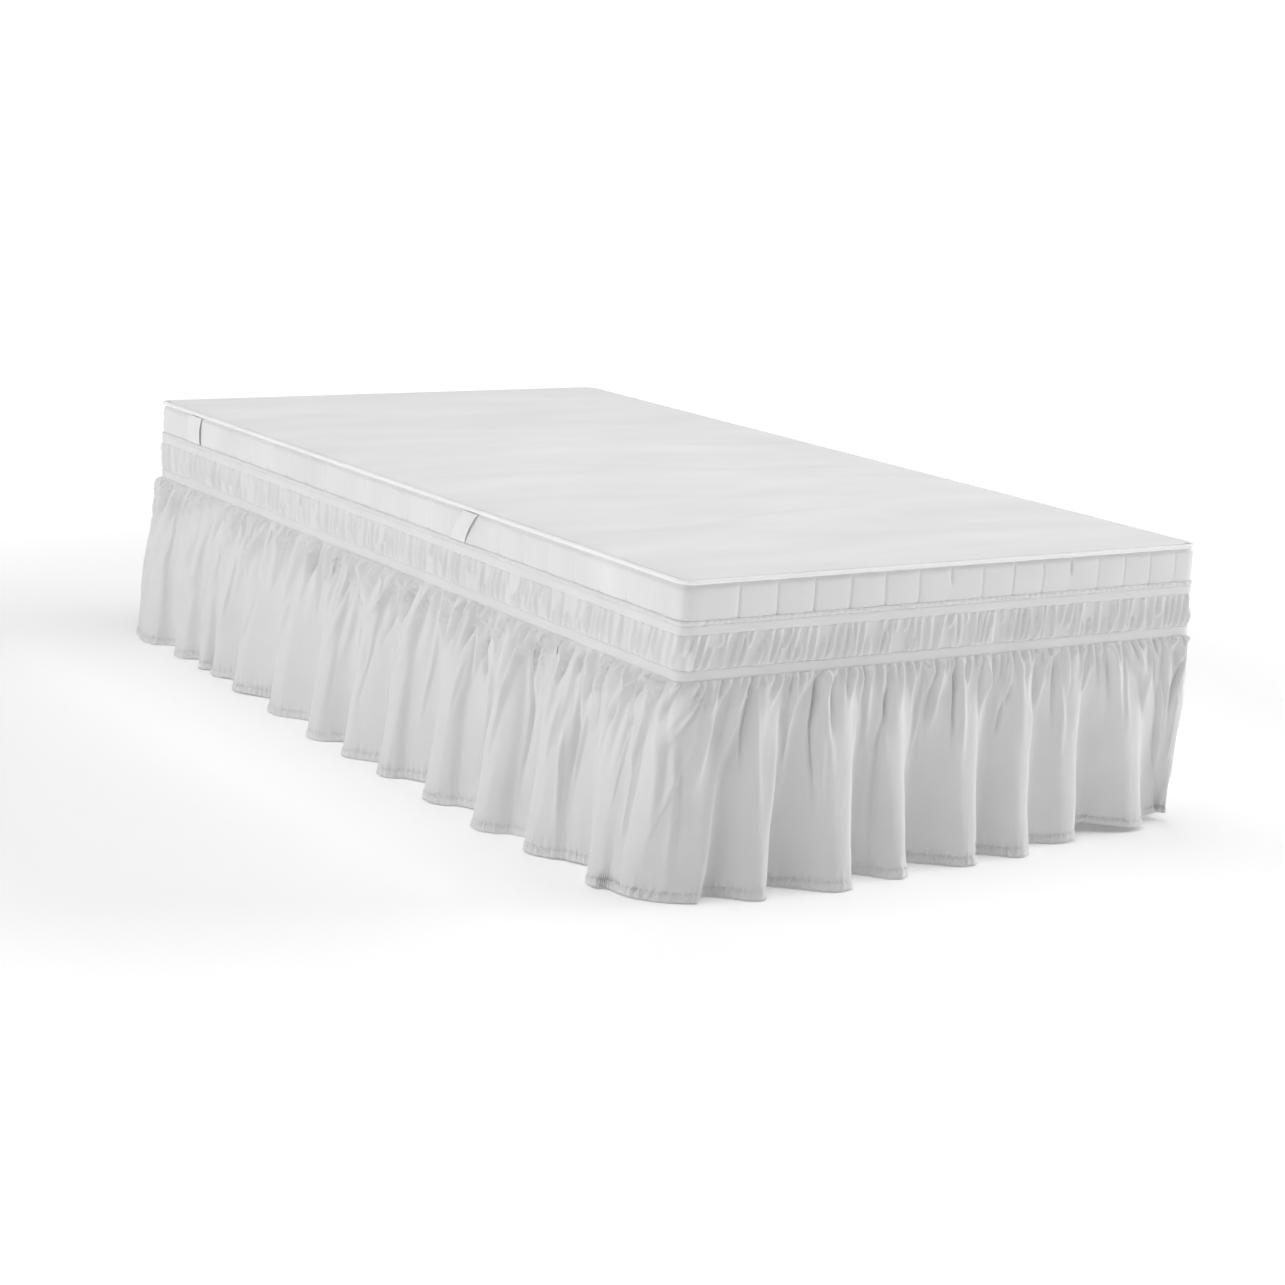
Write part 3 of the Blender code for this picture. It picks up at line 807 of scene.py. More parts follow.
# how far the gathers drift over the whole drop, along half the walk
LEAN_AT = (0.0, 0.10, 0.20, 0.90, 1.00, 2.895)
LEAN_BY = (-0.16, -0.12, 0.0, 0.0, -0.16, -0.16)
CREASES = (
    # the corner's lobe, crumpled and pulled by the seam over it
    Crease(-0.0075, 0.0080, ((-0.118, 0.02), (-0.112, 0.10), (-0.100, 0.18), (-0.085, 0.27))),
    Crease(0.0040, 0.0100, ((-0.090, 0.06), (-0.078, 0.18), (-0.060, 0.32))),
    Crease(0.0032, 0.0050, ((-0.070, 0.20), (-0.052, 0.45), (-0.040, 0.80))),
    Crease(-0.0034, 0.0070, ((-0.055, 0.10), (-0.040, 0.40), (-0.026, 0.85))),
    Crease(0.0034, 0.0046, ((-0.022, 0.04), (-0.012, 0.22), (0.000, 0.45), (0.008, 0.70))),
    Crease(-0.0032, 0.0042, ((-0.012, 0.04), (0.000, 0.25), (0.010, 0.48), (0.016, 0.66))),
    Crease(0.0034, 0.0038, ((0.012, 0.30), (0.026, 0.50), (0.038, 0.70), (0.050, 0.92))),
    Crease(-0.0032, 0.0036, ((0.020, 0.34), (0.036, 0.56), (0.047, 0.78), (0.058, 0.93))),
    Crease(0.0044, 0.0055, ((0.060, 0.02), (0.045, 0.10), (0.028, 0.20))),
    Crease(-0.0050, 0.0080, ((0.072, 0.04), (0.066, 0.15), (0.072, 0.30))),
    # folds and pulls of the foot side
    Crease(0.0088, 0.0056, ((0.106, 0.05), (0.101, 0.22), (0.088, 0.38), (0.078, 0.52), (0.074, 0.62),
                            (0.071, 0.80), (0.076, 0.98))),
    Crease(-0.0072, 0.0076, ((0.118, 0.10), (0.113, 0.24), (0.101, 0.40), (0.091, 0.54), (0.087, 0.64),
                             (0.084, 0.82), (0.089, 0.98))),
    Crease(-0.0096, 0.0042, ((0.125, 0.0), (0.130, 0.12), (0.127, 0.25), (0.130, 0.42))),
    Crease(0.0036, 0.0050, ((0.139, 0.05), (0.146, 0.20), (0.155, 0.40), (0.163, 0.60))),
    Crease(0.0044, 0.0036, ((0.205, 0.03), (0.207, 0.25), (0.208, 0.52))),
    Crease(-0.0104, 0.0043, ((0.247, 0.01), (0.247, 0.12), (0.243, 0.25), (0.247, 0.38), (0.255, 0.56))),
    Crease(0.0048, 0.0045, ((0.262, 0.0), (0.262, 0.10), (0.270, 0.26), (0.279, 0.45))),
    Crease(-0.0060, 0.0034, ((0.298, 0.0), (0.300, 0.08), (0.297, 0.15))),
    Crease(0.0044, 0.0050, ((0.316, 0.03), (0.322, 0.14), (0.330, 0.26))),
    Crease(-0.0074, 0.0040, ((0.380, 0.0), (0.374, 0.14), (0.359, 0.34), (0.354, 0.60), (0.353, 0.90))),
    Crease(0.0050, 0.0042, ((0.342, 0.0), (0.342, 0.16), (0.345, 0.38))),
    Crease(0.0048, 0.0036, ((0.447, 0.12), (0.441, 0.30), (0.433, 0.50))),
    Crease(-0.0058, 0.0036, ((0.468, 0.03), (0.460, 0.16), (0.452, 0.30))),
    Crease(0.0050, 0.0040, ((0.477, 0.04), (0.470, 0.20), (0.461, 0.34))),
    Crease(-0.0100, 0.0041, ((0.503, 0.0), (0.504, 0.18), (0.500, 0.42))),
    Crease(0.0044, 0.0040, ((0.514, 0.0), (0.515, 0.15), (0.521, 0.32))),
    Crease(0.0050, 0.0034, ((0.561, 0.03), (0.566, 0.14), (0.572, 0.28))),
    Crease(-0.0060, 0.0034, ((0.577, 0.02), (0.574, 0.22))),
    Crease(-0.0076, 0.0036, ((0.613, 0.18), (0.601, 0.27), (0.594, 0.42))),
    Crease(0.0058, 0.0036, ((0.611, 0.08), (0.606, 0.22), (0.599, 0.34))),
    Crease(0.0046, 0.0042, ((0.683, 0.03), (0.678, 0.16), (0.674, 0.32))),
    Crease(-0.0064, 0.0040, ((0.692, 0.0), (0.688, 0.16))),
    Crease(0.0044, 0.0042, ((0.703, 0.08), (0.714, 0.20), (0.724, 0.40))),
    Crease(0.0060, 0.0060, ((0.773, 0.10), (0.764, 0.20), (0.752, 0.31))),
    Crease(-0.0100, 0.0200, ((0.775, 0.30), (0.775, 1.0))),
    Crease(-0.0060, 0.0036, ((0.785, 0.06), (0.790, 0.22))),
    Crease(0.0046, 0.0040, ((0.815, 0.03), (0.823, 0.18), (0.832, 0.38))),
    Crease(0.0062, 0.0050, ((0.893, 0.06), (0.880, 0.18), (0.868, 0.33))),
    Crease(-0.0056, 0.0070, ((0.906, 0.14), (0.896, 0.32), (0.890, 0.60), (0.893, 0.98))),
    Crease(-0.0060, 0.0040, ((0.936, 0.02), (0.930, 0.18))),
    # hollows and pulls of the long side, each a sharp line near the band over a soft trough
    Crease(-0.0099, 0.0045, ((-0.253, 0.0), (-0.262, 0.12), (-0.268, 0.35), (-0.274, 0.62))),
    Crease(0.0067, 0.0040, ((-0.288, 0.45), (-0.288, 0.82))),
    Crease(-0.0060, 0.0140, ((-0.272, 0.25), (-0.275, 1.0))),
    Crease(-0.0102, 0.0040, ((-0.425, 0.03), (-0.420, 0.20), (-0.412, 0.36), (-0.415, 0.55),
                             (-0.420, 0.72))),
    Crease(-0.0075, 0.0160, ((-0.430, 0.15), (-0.425, 0.5), (-0.430, 1.0))),
    Crease(-0.0090, 0.0040, ((-0.602, 0.10), (-0.603, 0.38))),
    Crease(-0.0075, 0.0160, ((-0.602, 0.10), (-0.605, 0.5), (-0.603, 1.0))),
    Crease(-0.0080, 0.0036, ((-0.575, 0.20), (-0.568, 0.35))),
    Crease(-0.0106, 0.0040, ((-0.768, 0.02), (-0.778, 0.09), (-0.790, 0.15))),
    Crease(-0.0080, 0.0160, ((-0.782, 0.12), (-0.785, 0.5), (-0.782, 1.0))),
    Crease(-0.0096, 0.0040, ((-0.925, 0.05), (-0.930, 0.30))),
    Crease(-0.0060, 0.0130, ((-0.935, 0.20), (-0.932, 0.95))),
    Crease(-0.0060, 0.0130, ((-1.050, 0.25), (-1.052, 0.95))),
    Crease(-0.0115, 0.0060, ((-1.232, 0.02), (-1.243, 0.12), (-1.255, 0.25))),
    Crease(-0.0040, 0.0120, ((-1.250, 0.20), (-1.255, 0.90))),
    Crease(-0.0060, 0.0120, ((-1.400, 0.05), (-1.408, 0.3), (-1.410, 0.62))),
    Crease(-0.0099, 0.0070, ((-1.525, 0.03), (-1.535, 0.15), (-1.545, 0.30))),
    Crease(-0.0042, 0.0100, ((-1.695, 0.10), (-1.695, 0.90))),
    Crease(-0.0042, 0.0120, ((-1.805, 0.05), (-1.800, 0.5), (-1.790, 0.95))),
)
# the ribs lean to the right up the shirred zone, most at the foot's left corner
SLANT_AT = (0.0, 0.12, 0.35, 0.70, 0.99, 1.30, 2.90, 3.90, 4.60, 5.30, 5.79)
SLANT_BY = (0.015, 0.013, 0.007, 0.005, 0.008, 0.003, 0.005, 0.001, 0.001, 0.005, 0.014)


@dataclass
class Skirt:
    """The gathered skirt: its ruffle and heading in four lengths, and its elastic bands."""

    shape: SkirtShape = field(default_factory=SkirtShape)
    thickness: float = 0.0009
    ruffle_drop: float = 0.330       # cut height of the ruffle with its hem
    heading_drop: float = 0.084
    band_low: float = 0.0019
    band_thickness: float = 0.0012
    band_column: float = 0.006
    band_edge: float = 0.0009        # how far a band's edges are rounded off
    stitch_rise: float = 0.00040
    stitch_at: tuple[float, ...] = (0.42, -0.42)   # shares of the way from a band's middle

    def build(self, cotton: bpy.types.Material, elastic: bpy.types.Material) -> list[bpy.types.Object]:
        """Builds and dresses every piece of the skirt.

        Args:
            cotton: finish of the cloth.
            elastic: finish of the bands.

        Returns:
            The pieces.
        """
        pieces = []
        for word, (points, uv), drop in (("ruffle", self.shape.ruffle(), self.ruffle_drop),
                                         ("heading", self.shape.heading(), self.heading_drop)):
            for side in Side:
                panel, width = self._panel(f"skirt_{word}_{side.word}", points, uv, side)
                thickened(panel, self.thickness)
                dressed(panel, cotton, "skirt_cotton", "skirt_cloth")
                pieces.append(panel)
        shape = self.shape
        for name, top, height in (
                ("upper_elastic_band", shape.upper_band_top, shape.upper_band_height),
                ("lower_elastic_band", shape.lower_band_top, shape.band_height)):
            band = self._band(name + "_sewn", top, height)
            dressed(band, elastic, "elastic", name)
            pieces.append(band)
        return pieces

    def _panel(self, name: str, points: np.ndarray, uv: np.ndarray,
               side: Side) -> tuple[bpy.types.Object, float]:
        """Cuts one side's length out of the whole surface.

        Args:
            name: name of the new piece.
            points: the whole surface.
            uv: its cloth coordinates.
            side: the side that the panel covers.

        Returns:
            The panel, and the width of cloth in it.
        """
        count = points.shape[1] - 1
        start, end = (int(round(at / OUTLINE.whole * count)) for at in side.value)
        columns = np.arange(start, end + 1)
        cut = uv[:, columns % count].copy()
        cut[..., 0] += columns // count * OUTLINE.whole * self.shape.fullness
        piece = shaped_grid(name, points[:, columns % count], cut)
        width = round((end - start) / count * OUTLINE.whole * self.shape.fullness, 3)
        return piece, width

    def _band(self, name: str, top: float, height: float) -> bpy.types.Object:
        """One elastic band: a flat closed section with two raised stitch rows.

        Args:
            name: name of the new piece.
            top: height of its top edge.
            height: how wide the elastic is.

        Returns:
            The piece.
        """
        half = self.band_thickness / 2
        face = np.linspace(-1, 1, 13)
        edge = self.band_edge * np.abs(face) ** 6
        rows = self.stitch_rise * sum(np.exp(-((face - at) / 0.10) ** 2) for at in self.stitch_at)
        out = np.concatenate([self.band_low + 2 * half - edge + rows,
                              [self.band_low, self.band_low], [self.band_low + 2 * half - edge[0]]])
        z = top - height / 2 + height / 2 * np.concatenate([face, [1, -1], [-1]])
        count = int(OUTLINE.whole / self.band_column)
        at = np.arange(count + 1) * OUTLINE.whole / count
        wave = 0.0003 * value_noise(at / OUTLINE.whole * 90, np.zeros(1), 5, 90)
        ring = OUTLINE.place(at[None, :], out[:, None])
        tall = np.broadcast_to(z[:, None] + wave, ring.shape[:2])
        points = np.concatenate([ring, tall[..., None]], -1)
        along = np.concatenate([[0], np.cumsum(np.hypot(np.diff(out), np.diff(z)))])
        uv = np.stack(np.broadcast_arrays(at[None, :], along[:, None]), -1)
        return shaped_grid(name, points, uv)


# ------------------------------------------------------------------ the mattress


@dataclass(frozen=True)
class Wave:
    """A soft trough or ridge in the mattress's top, along a line on it."""

    start: tuple[float, float]
    end: tuple[float, float]
    height: float
    width: float


TOP_WAVES = (
    Wave((-0.33, 0.235), (0.49, 0.025), 0.0070, 0.036),
    Wave((-0.12, 0.03), (0.49, -0.14), -0.0066, 0.028),
    Wave((-0.42, -0.10), (0.46, -0.33), 0.0074, 0.034),
    Wave((-0.49, -0.56), (0.22, -0.455), -0.0076, 0.026),
    Wave((-0.49, -0.64), (0.24, -0.85), 0.0058, 0.036),
    Wave((-0.50, 0.70), (0.50, 0.62), -0.0048, 0.050),
    Wave((0.10, -0.62), (0.48, -0.70), -0.0046, 0.030),
)
TUFTS = ((-0.215, -0.712), (-0.125, -0.712), (-0.085, -0.812))


@dataclass
class Mattress:
    """The mattress: a padded border with sewn channels, a soft top and its piping."""

    bottom: float = 0.267
    chamfer: float = 0.006
    border_top: float = 0.4564
    seat_depth: float = 0.0047
    seat_low: float = 0.4604
    seat_high: float = 0.4664
    crown: float = 0.4706
    skirt_top: float = 0.4075
    bulge: float = 0.0012
    seam_depth: float = 0.0024
    seam_width: float = 0.0022
    foot_first: float = 0.0976
    foot_pitch: float = 0.0690
    foot_closer: float = 0.00062     # each pitch is narrower than the last by twice this
    foot_seams: int = 15
    long_first: float = 0.075
    long_pitch: float = 0.078
    long_seams: int = 23
    foot_depths: tuple[float, ...] = (1.0, 1.1, 1.2, 1.1, 1.0, 0.9, 1.4, 0.6, 0.7, 0.5, 1.4,
                                      0.3, 0.4, 0.6, 0.4)
    long_depth: float = 0.40
    short_seams: tuple[int, ...] = (6, 10)   # these reach only half way down the border
    piping_radius: float = 0.0035
    piping_height: float = 0.4631
    piping_out: float = -0.0006
    piping_sides: int = 14
    piping_step: float = 0.006
    pillow: float = 0.0009           # how far the channels fill out between their seams
    seam_wander: float = 0.0009      # how crooked the seams are
    top_cells: tuple[int, int] = (116, 210)
    tuft_depth: float = 0.0016
    tuft_width: float = 0.0035

    def build(self, ticking: bpy.types.Material, welt: bpy.types.Material) -> list[bpy.types.Object]:
        """Builds and dresses the mattress's body and its piping.

        Args:
            ticking: finish of the cover.
            welt: finish of the piping.

        Returns:
            The pieces.
        """
        body = self._body()
        dressed(body, ticking, "ticking", "mattress")
        piping = self._piping()
        dressed(piping, welt, "piping", "mattress_piping")
        return [body, piping]

    def _seams(self) -> tuple[np.ndarray, np.ndarray, np.ndarray]:
        """The border's sewn channels: their places on the walk, depths, and which are short.

        Returns:
            Three arrays in the order of the walk.
        """
        step = np.arange(self.foot_seams)
        foot = self.foot_first + self.foot_pitch * step - self.foot_closer * step ** 2
        long_side = -self.long_first - self.long_pitch * np.arange(self.long_seams)
        half = np.concatenate([foot, long_side])
        uneven = np.random.default_rng(3).uniform(0.5, 1.5, len(long_side))
        depths = np.tile(np.concatenate([self.foot_depths, self.long_depth * uneven]), 2)
        short = np.tile(np.isin(np.arange(len(half)), self.short_seams), 2)
        at = np.concatenate([half, half + OUTLINE.half]) % OUTLINE.whole
        order = np.argsort(at)
        return at[order], depths[order], short[order]

    def _columns(self, seams: np.ndarray) -> np.ndarray:
        """Columns of the border: evenly spread, with more of them at each seam.

        Args:
            seams: the seams' places on the walk.

        Returns:
            Places on the walk.
        """
        even = np.arange(0, OUTLINE.whole, 0.0095)
        near = (seams[:, None] + np.array([-5, -3, -2, -1, 0, 1, 2, 3, 5]) * 0.001).ravel()
        at = np.sort(np.concatenate([even, near % OUTLINE.whole]))
        return at[np.concatenate([[True], np.diff(at) > 0.0006])]

    def _border(self) -> tuple[np.ndarray, np.ndarray]:
        """The border as a ring from its underside to the welt's seat, drawn in at the seams.

        Returns:
            Points and cloth coordinates, rows from the bottom up.
        """
        seams, depths, short = self._seams()
        at = self._columns(seams)
        face = np.concatenate([[0.300, 0.380], np.linspace(0.400, self.border_top - 0.003, 13)])
        z = np.concatenate([[self.bottom, self.bottom + self.chamfer], face,
                            [self.border_top, self.seat_low - 0.001, self.seat_low, self.seat_high]])
        shows = smooth((z - self.skirt_top + 0.004) / 0.004) * (z <= self.border_top - 0.002)
        upright = np.clip((z - self.skirt_top) / (self.border_top - self.skirt_top), 0, 1)
        bulge = self.bulge * np.sin(np.pi * upright) ** 0.6 * shows
        crooked = value_noise(at / OUTLINE.whole * 300, z[:, None] / 0.02, 11, 300)
        wander = self.seam_wander * crooked
        place = at + wander * shows[:, None]
        nearest = np.min(np.abs(OUTLINE.gap(seams[None, None, :], place[..., None])), -1)
        number = np.argmin(np.abs(OUTLINE.gap(seams[None, :], at[:, None])), -1)
        reach = np.where(short[number], smooth((z[:, None] - 0.4300) / 0.008), 1.0)
        groove = -self.seam_depth * depths[number] * reach * np.exp(-(nearest / self.seam_width) ** 2)
        pillow = self.pillow * (1 - np.exp(-(nearest / 0.014) ** 2))
        out = bulge[:, None] + (groove + pillow) * shows[:, None] + self._corner_creases(at, z)
        rounding = np.zeros(len(z))
        rounding[0] = -self.chamfer
        rounding[-4:] = (-0.0012, -0.0040, -self.seat_depth, -self.seat_depth)
        out = out + rounding[:, None]
        ring = OUTLINE.place(np.broadcast_to(at, out.shape), out)
        tall = np.broadcast_to(z[:, None], out.shape)
        points = np.concatenate([ring, tall[..., None]], -1)
        points = np.concatenate([points, points[:, :1]], 1)
        along = np.concatenate([at, [OUTLINE.whole]])
        uv = np.stack(np.broadcast_arrays(along[None, :], z[:, None]), -1)
        return points, uv

    def _body(self) -> bpy.types.Object:
        """The border with the top panel and the underside joined to it.

        Returns:
            The piece.
        """
        border = shaped_grid("mattress_padded", *self._border())
        bm = bmesh.new()
        bm.from_mesh(border.data)
        bm.faces.ensure_lookup_table()
        rim = [e for e in bm.edges if e.is_boundary]
        low = [e for e in rim if e.verts[0].co.z < self.seat_low - 0.05]
        high = [e for e in rim if e.verts[0].co.z > self.seat_low]
        bmesh.ops.edgeloop_fill(bm, edges=low)
        self._add_top(bm, high)
        bmesh.ops.recalc_face_normals(bm, faces=bm.faces)
        bm.to_mesh(border.data)
        bm.free()
        border.data.shade_smooth()
        return border

    def _corner_creases(self, at: np.ndarray, z: np.ndarray) -> np.ndarray:
        """Short level creases beside the corners, where the border is pulled round them.

        Args:
            at: the columns' places on the walk.
            z: the rows' heights.

        Returns:
            Distances out of shape (rows, columns), 0 or less.
        """
        depth = np.zeros((len(z), len(at)))
        for corner, turn in ((0.0, 0), (OUTLINE.width, 1), (OUTLINE.half, 2), (-OUTLINE.length, 3)):
            away = OUTLINE.gap(at, corner)
            inside = smooth((away + 0.002) / 0.006) * faded(away, 0.024, 0.040)
            for height, deep in ((0.4495, 0.0016), (0.4310, 0.0013)):
                level = height + 0.0012 * math.sin(turn * 2.1) + 1.2 * (away - 0.018) ** 2
                across = np.exp(-((z[:, None] - level) / 0.0018) ** 2)
                depth -= deep * across * inside
        return depth

    def top_height(self, x: np.ndarray, y: np.ndarray, edge: np.ndarray) -> np.ndarray:
        """Height of the top panel.

        Args:
            x: places across the bed.
            y: places along the bed.
            edge: distances in from the panel's edge.

        Returns:
            Heights above the floor.
        """
        rise = self.crown - self.seat_high
        rolled, crowned = 1 - np.exp(-edge / 0.006), 1 - np.exp(-edge / 0.060)
        z = self.seat_high + rise * (0.45 * rolled + 0.55 * crowned)
        inner = 1 - np.exp(-(edge / 0.055) ** 2)
        for wave in TOP_WAVES:
            ax, ay = wave.start
            dx, dy = wave.end[0] - ax, wave.end[1] - ay
            span = math.hypot(dx, dy)
            along = ((x - ax) * dx + (y - ay) * dy) / span ** 2
            bend = 0.02 * np.sin(3.0 * along * math.pi + ay * 9)
            away = ((x - ax) * dy - (y - ay) * dx) / span + bend
            fade = smooth((along + 0.05) / 0.2) * faded(along, 0.8, 1.05)
            z = z + inner * fade * wave.height * np.exp(-(away / wave.width) ** 2)
        wide = value_noise((x + 1) / 0.33, (y + 1) / 0.13, 21, 64)
        fine = value_noise((x + 1) / 0.11, (y + 1) / 0.06, 22, 64)
        z = z + inner * (0.0020 * wide + 0.0008 * fine)
        for tx, ty in TUFTS:
            away = (x - tx) ** 2 + (y - ty) ** 2
            z = z - self.tuft_depth * np.exp(-away / self.tuft_width ** 2)
        return z

    def _add_top(self, bm: bmesh.types.BMesh, rim: list[bmesh.types.BMEdge]) -> None:
        """Adds the top panel inside the border's upper rim and joins the two.

        Args:
            bm: the border's mesh, which is changed.
            rim: the border's upper edges.
        """
        half_w = OUTLINE.width / 2 - self.seat_depth - 0.0012
        half_l = OUTLINE.length / 2 - self.seat_depth - 0.0012
        corner = OUTLINE.radius - self.seat_depth
        across, along = self.top_cells
        made = bmesh.ops.create_grid(bm, x_segments=across, y_segments=along, size=1.0)
        verts = made["verts"]
        flat = np.array([v.co[:2] for v in verts])
        # columns and rows crowd towards the edges, where the panel rolls over
        grown = np.sin(flat * math.pi / 2 * 0.94) / math.sin(math.pi / 2 * 0.94)
        flat = 0.45 * grown + 0.55 * flat
        x, y = flat[:, 0] * half_w, flat[:, 1] * half_l
        over_x, over_y = np.abs(x) - (half_w - corner), np.abs(y) - (half_l - corner)
        inside = (over_x > 0) & (over_y > 0)
        reach = np.hypot(over_x, over_y)
        pull = np.where(inside, np.maximum(over_x, over_y) / np.maximum(reach, 1e-9), 1.0)
        x = np.where(inside, np.sign(x) * (half_w - corner + over_x * pull), x)
        y = np.where(inside, np.sign(y) * (half_l - corner + over_y * pull), y)
        edge_x, edge_y = half_w - np.abs(x), half_l - np.abs(y)
        rounded = corner - np.hypot(np.maximum(over_x * pull, 0), np.maximum(over_y * pull, 0))
        edge = np.where(inside, rounded, np.minimum(edge_x, edge_y))
        z = self.top_height(x, y, np.maximum(edge, 0))
        for vert, place in zip(verts, np.stack([x, y, z], -1)):
            vert.co = place
        outer = [e for e in bm.edges if e.is_boundary and e not in set(rim)]
        bmesh.ops.bridge_loops(bm, edges=rim + outer)

    def _piping(self) -> bpy.types.Object:
        """The round welt in its notch along the top edge.

        Returns:
            The piece.
        """
        count = int(OUTLINE.whole / self.piping_step)
        at = np.arange(count + 1) * OUTLINE.whole / count
        angle = np.linspace(-math.pi, math.pi, self.piping_sides + 1)[:, None]
        plump = 1 + 0.04 * value_noise(at / OUTLINE.whole * 140, np.zeros(1), 8, 140)
        out = self.piping_out + self.piping_radius * plump * np.cos(angle)
        tall = self.piping_height + self.piping_radius * plump * np.sin(angle)
        ring = OUTLINE.place(np.broadcast_to(at, out.shape), out)
        points = np.concatenate([ring, tall[..., None]], -1)
        uv = np.stack(np.broadcast_arrays(at[None, :], angle * self.piping_radius), -1)
        return shaped_grid("mattress_piping_welt", points, uv)


@dataclass
class Handle:
    """A webbing handle sewn to the long side at both ends and bowed out between them."""

    name: str
    top_at: float
    bottom_at: float
    width: float
    bow: float
    thickness: float = 0.0018
    low: float = 0.40594
    high: float = 0.4584
    fullness: float = 0.7           # below 1, the bow is flatter in its middle
    gap: float = 0.00032
    edge_round: float = 0.0005
    edge_groove: float = 0.0008     # beside each woven edge
    groove_at: float = 0.84         # share of the way out to the edge
    dip: float = 0.0007             # how far the sides curl down where the strap is free

    def build(self, webbing: bpy.types.Material) -> bpy.types.Object:
        """Builds and dresses the handle.

        Args:
            webbing: its finish.

        Returns:
            The piece.
        """
        up = np.linspace(0, 1, 41)
        across = np.linspace(-1, 1, 33)
        bow = self.bow * np.maximum(0, np.sin(np.pi * up)) ** self.fullness
        inner = self.gap + bow[:, None] + 0 * across
        groove = self.edge_groove * np.exp(-((np.abs(across) - self.groove_at) / 0.06) ** 2)
        selvedge = self.edge_round * np.abs(across) ** 10 + groove
        dip = self.dip * np.sin(np.pi * up)[:, None] * across ** 2
        outer = inner + self.thickness - selvedge - dip
        place = -(self.bottom_at + (self.top_at - self.bottom_at) * up[:, None]
                  - across * self.width / 2)
        z = self.low + (self.high - self.low) * up
        front = self._sheet(place, outer, z)
        back = self._sheet(place, inner, z)[:, ::-1]
        loop = np.concatenate([front, back, front[:, :1]], 1)
        ribs = np.concatenate([across, across[::-1], across[:1]]) * self.width / 2
        uv = np.stack(np.broadcast_arrays(ribs[None, :], z[:, None]), -1)
        strap = shaped_grid(self.name + "_webbing", loop, uv)
        bm = bmesh.new()
        bm.from_mesh(strap.data)
        bmesh.ops.holes_fill(bm, edges=[e for e in bm.edges if e.is_boundary], sides=0)
        bmesh.ops.recalc_face_normals(bm, faces=bm.faces)
        bm.to_mesh(strap.data)
        bm.free()
        strap.data.shade_smooth()
        strap.data.set_sharp_from_angle(angle=math.radians(55))
        dressed(strap, webbing, "webbing", self.name)
        return strap

    @staticmethod
    def _sheet(place: np.ndarray, out: np.ndarray, z: np.ndarray) -> np.ndarray:
        """Points of one face of the strap."""
        ring = OUTLINE.place(place, out)
        return np.concatenate([ring, np.broadcast_to(z[:, None], out.shape)[..., None]], -1)


# ------------------------------------------------------------------ finishes


class NodeBoard:
    """Short names for adding and joining nodes in one tree."""

    def __init__(self, tree: bpy.types.NodeTree) -> None:
        """Keeps the tree."""
        self.tree = tree

    def add(self, kind: str, **settings: object) -> bpy.types.Node:
        """Adds a node; settings are its own fields, or input sockets by their names.

        Args:
            kind: the node's class.
            settings: values, sockets to join, or fields.

        Returns:
            The new node.
        """
        node = self.tree.nodes.new(kind)
        for key, value in settings.items():
            name = key.replace("_", " ")
            if hasattr(node, key) and key not in ("inputs", "outputs"):
                setattr(node, key, value)
            elif name in node.inputs:
                self.feed(node.inputs[name], value)
        return node

    def feed(self, socket: bpy.types.NodeSocket, value: object) -> None:
        """Joins a socket to another one, or gives it a value.

        Args:
            socket: the input.
            value: another node's output, or a plain value.
        """
        if isinstance(value, bpy.types.NodeSocket):
            self.tree.links.new(value, socket)
        else:
            socket.default_value = value

    def math(self, operation: str, first: object, second: object = 0.0,
             third: object = 0.0) -> bpy.types.NodeSocket:
        """The result of a Math node.

        Args:
            operation: the node's operation.
            first: its first input.
            second: its second input.
            third: its third input.

        Returns:
            The node's output.
        """
        node = self.tree.nodes.new("ShaderNodeMath")
        node.operation = operation
        for socket, value in zip(node.inputs, (first, second, third)):
            self.feed(socket, value)
        return node.outputs[0]

    def blend(self, share: object, shade: tuple[float, ...],
              tone: tuple[float, ...]) -> bpy.types.NodeSocket:
        """A colour between a shade and a tone, which a share of 1 gives whole.

        Args:
            share: how much of the tone shows.
            shade: the colour at 0.
            tone: the colour at 1.

        Returns:
            The mixed colour.
        """
        node = self.add("ShaderNodeMix", data_type="RGBA")
        for socket, value in zip((node.inputs[0], node.inputs[6], node.inputs[7]),
                                 (share, (*shade, 1), (*tone, 1))):
            self.feed(socket, value)
        return node.outputs[2]


class Relief(Enum):
    """The shared surface effects, each a node group."""

    WEAVE = "plain_weave"
    CRUMPLE = "soft_crumple"
    STITCHES = "stitch_row"


def new_group(name: str, inputs: dict[str, tuple[str, float]],
              outputs: tuple[str, ...]) -> tuple[bpy.types.NodeTree, NodeBoard, dict, bpy.types.Node]:
    """Starts a shader node group.

    Args:
        name: the group's name.
        inputs: for each input its socket type and default number.
        outputs: names of its number outputs.

    Returns:
        The group, its board, its input sockets by name, and its output node.
    """
    tree = bpy.data.node_groups.new(name, "ShaderNodeTree")
    for key, (kind, value) in inputs.items():
        socket = tree.interface.new_socket(key, in_out="INPUT", socket_type=kind)
        if kind == "NodeSocketFloat":
            socket.default_value = value
    for key in outputs:
        tree.interface.new_socket(key, in_out="OUTPUT", socket_type="NodeSocketFloat")
    board = NodeBoard(tree)
    start = tree.nodes.new("NodeGroupInput")
    end = tree.nodes.new("NodeGroupOutput")
    return tree, board, {key: start.outputs[key] for key in inputs}, end


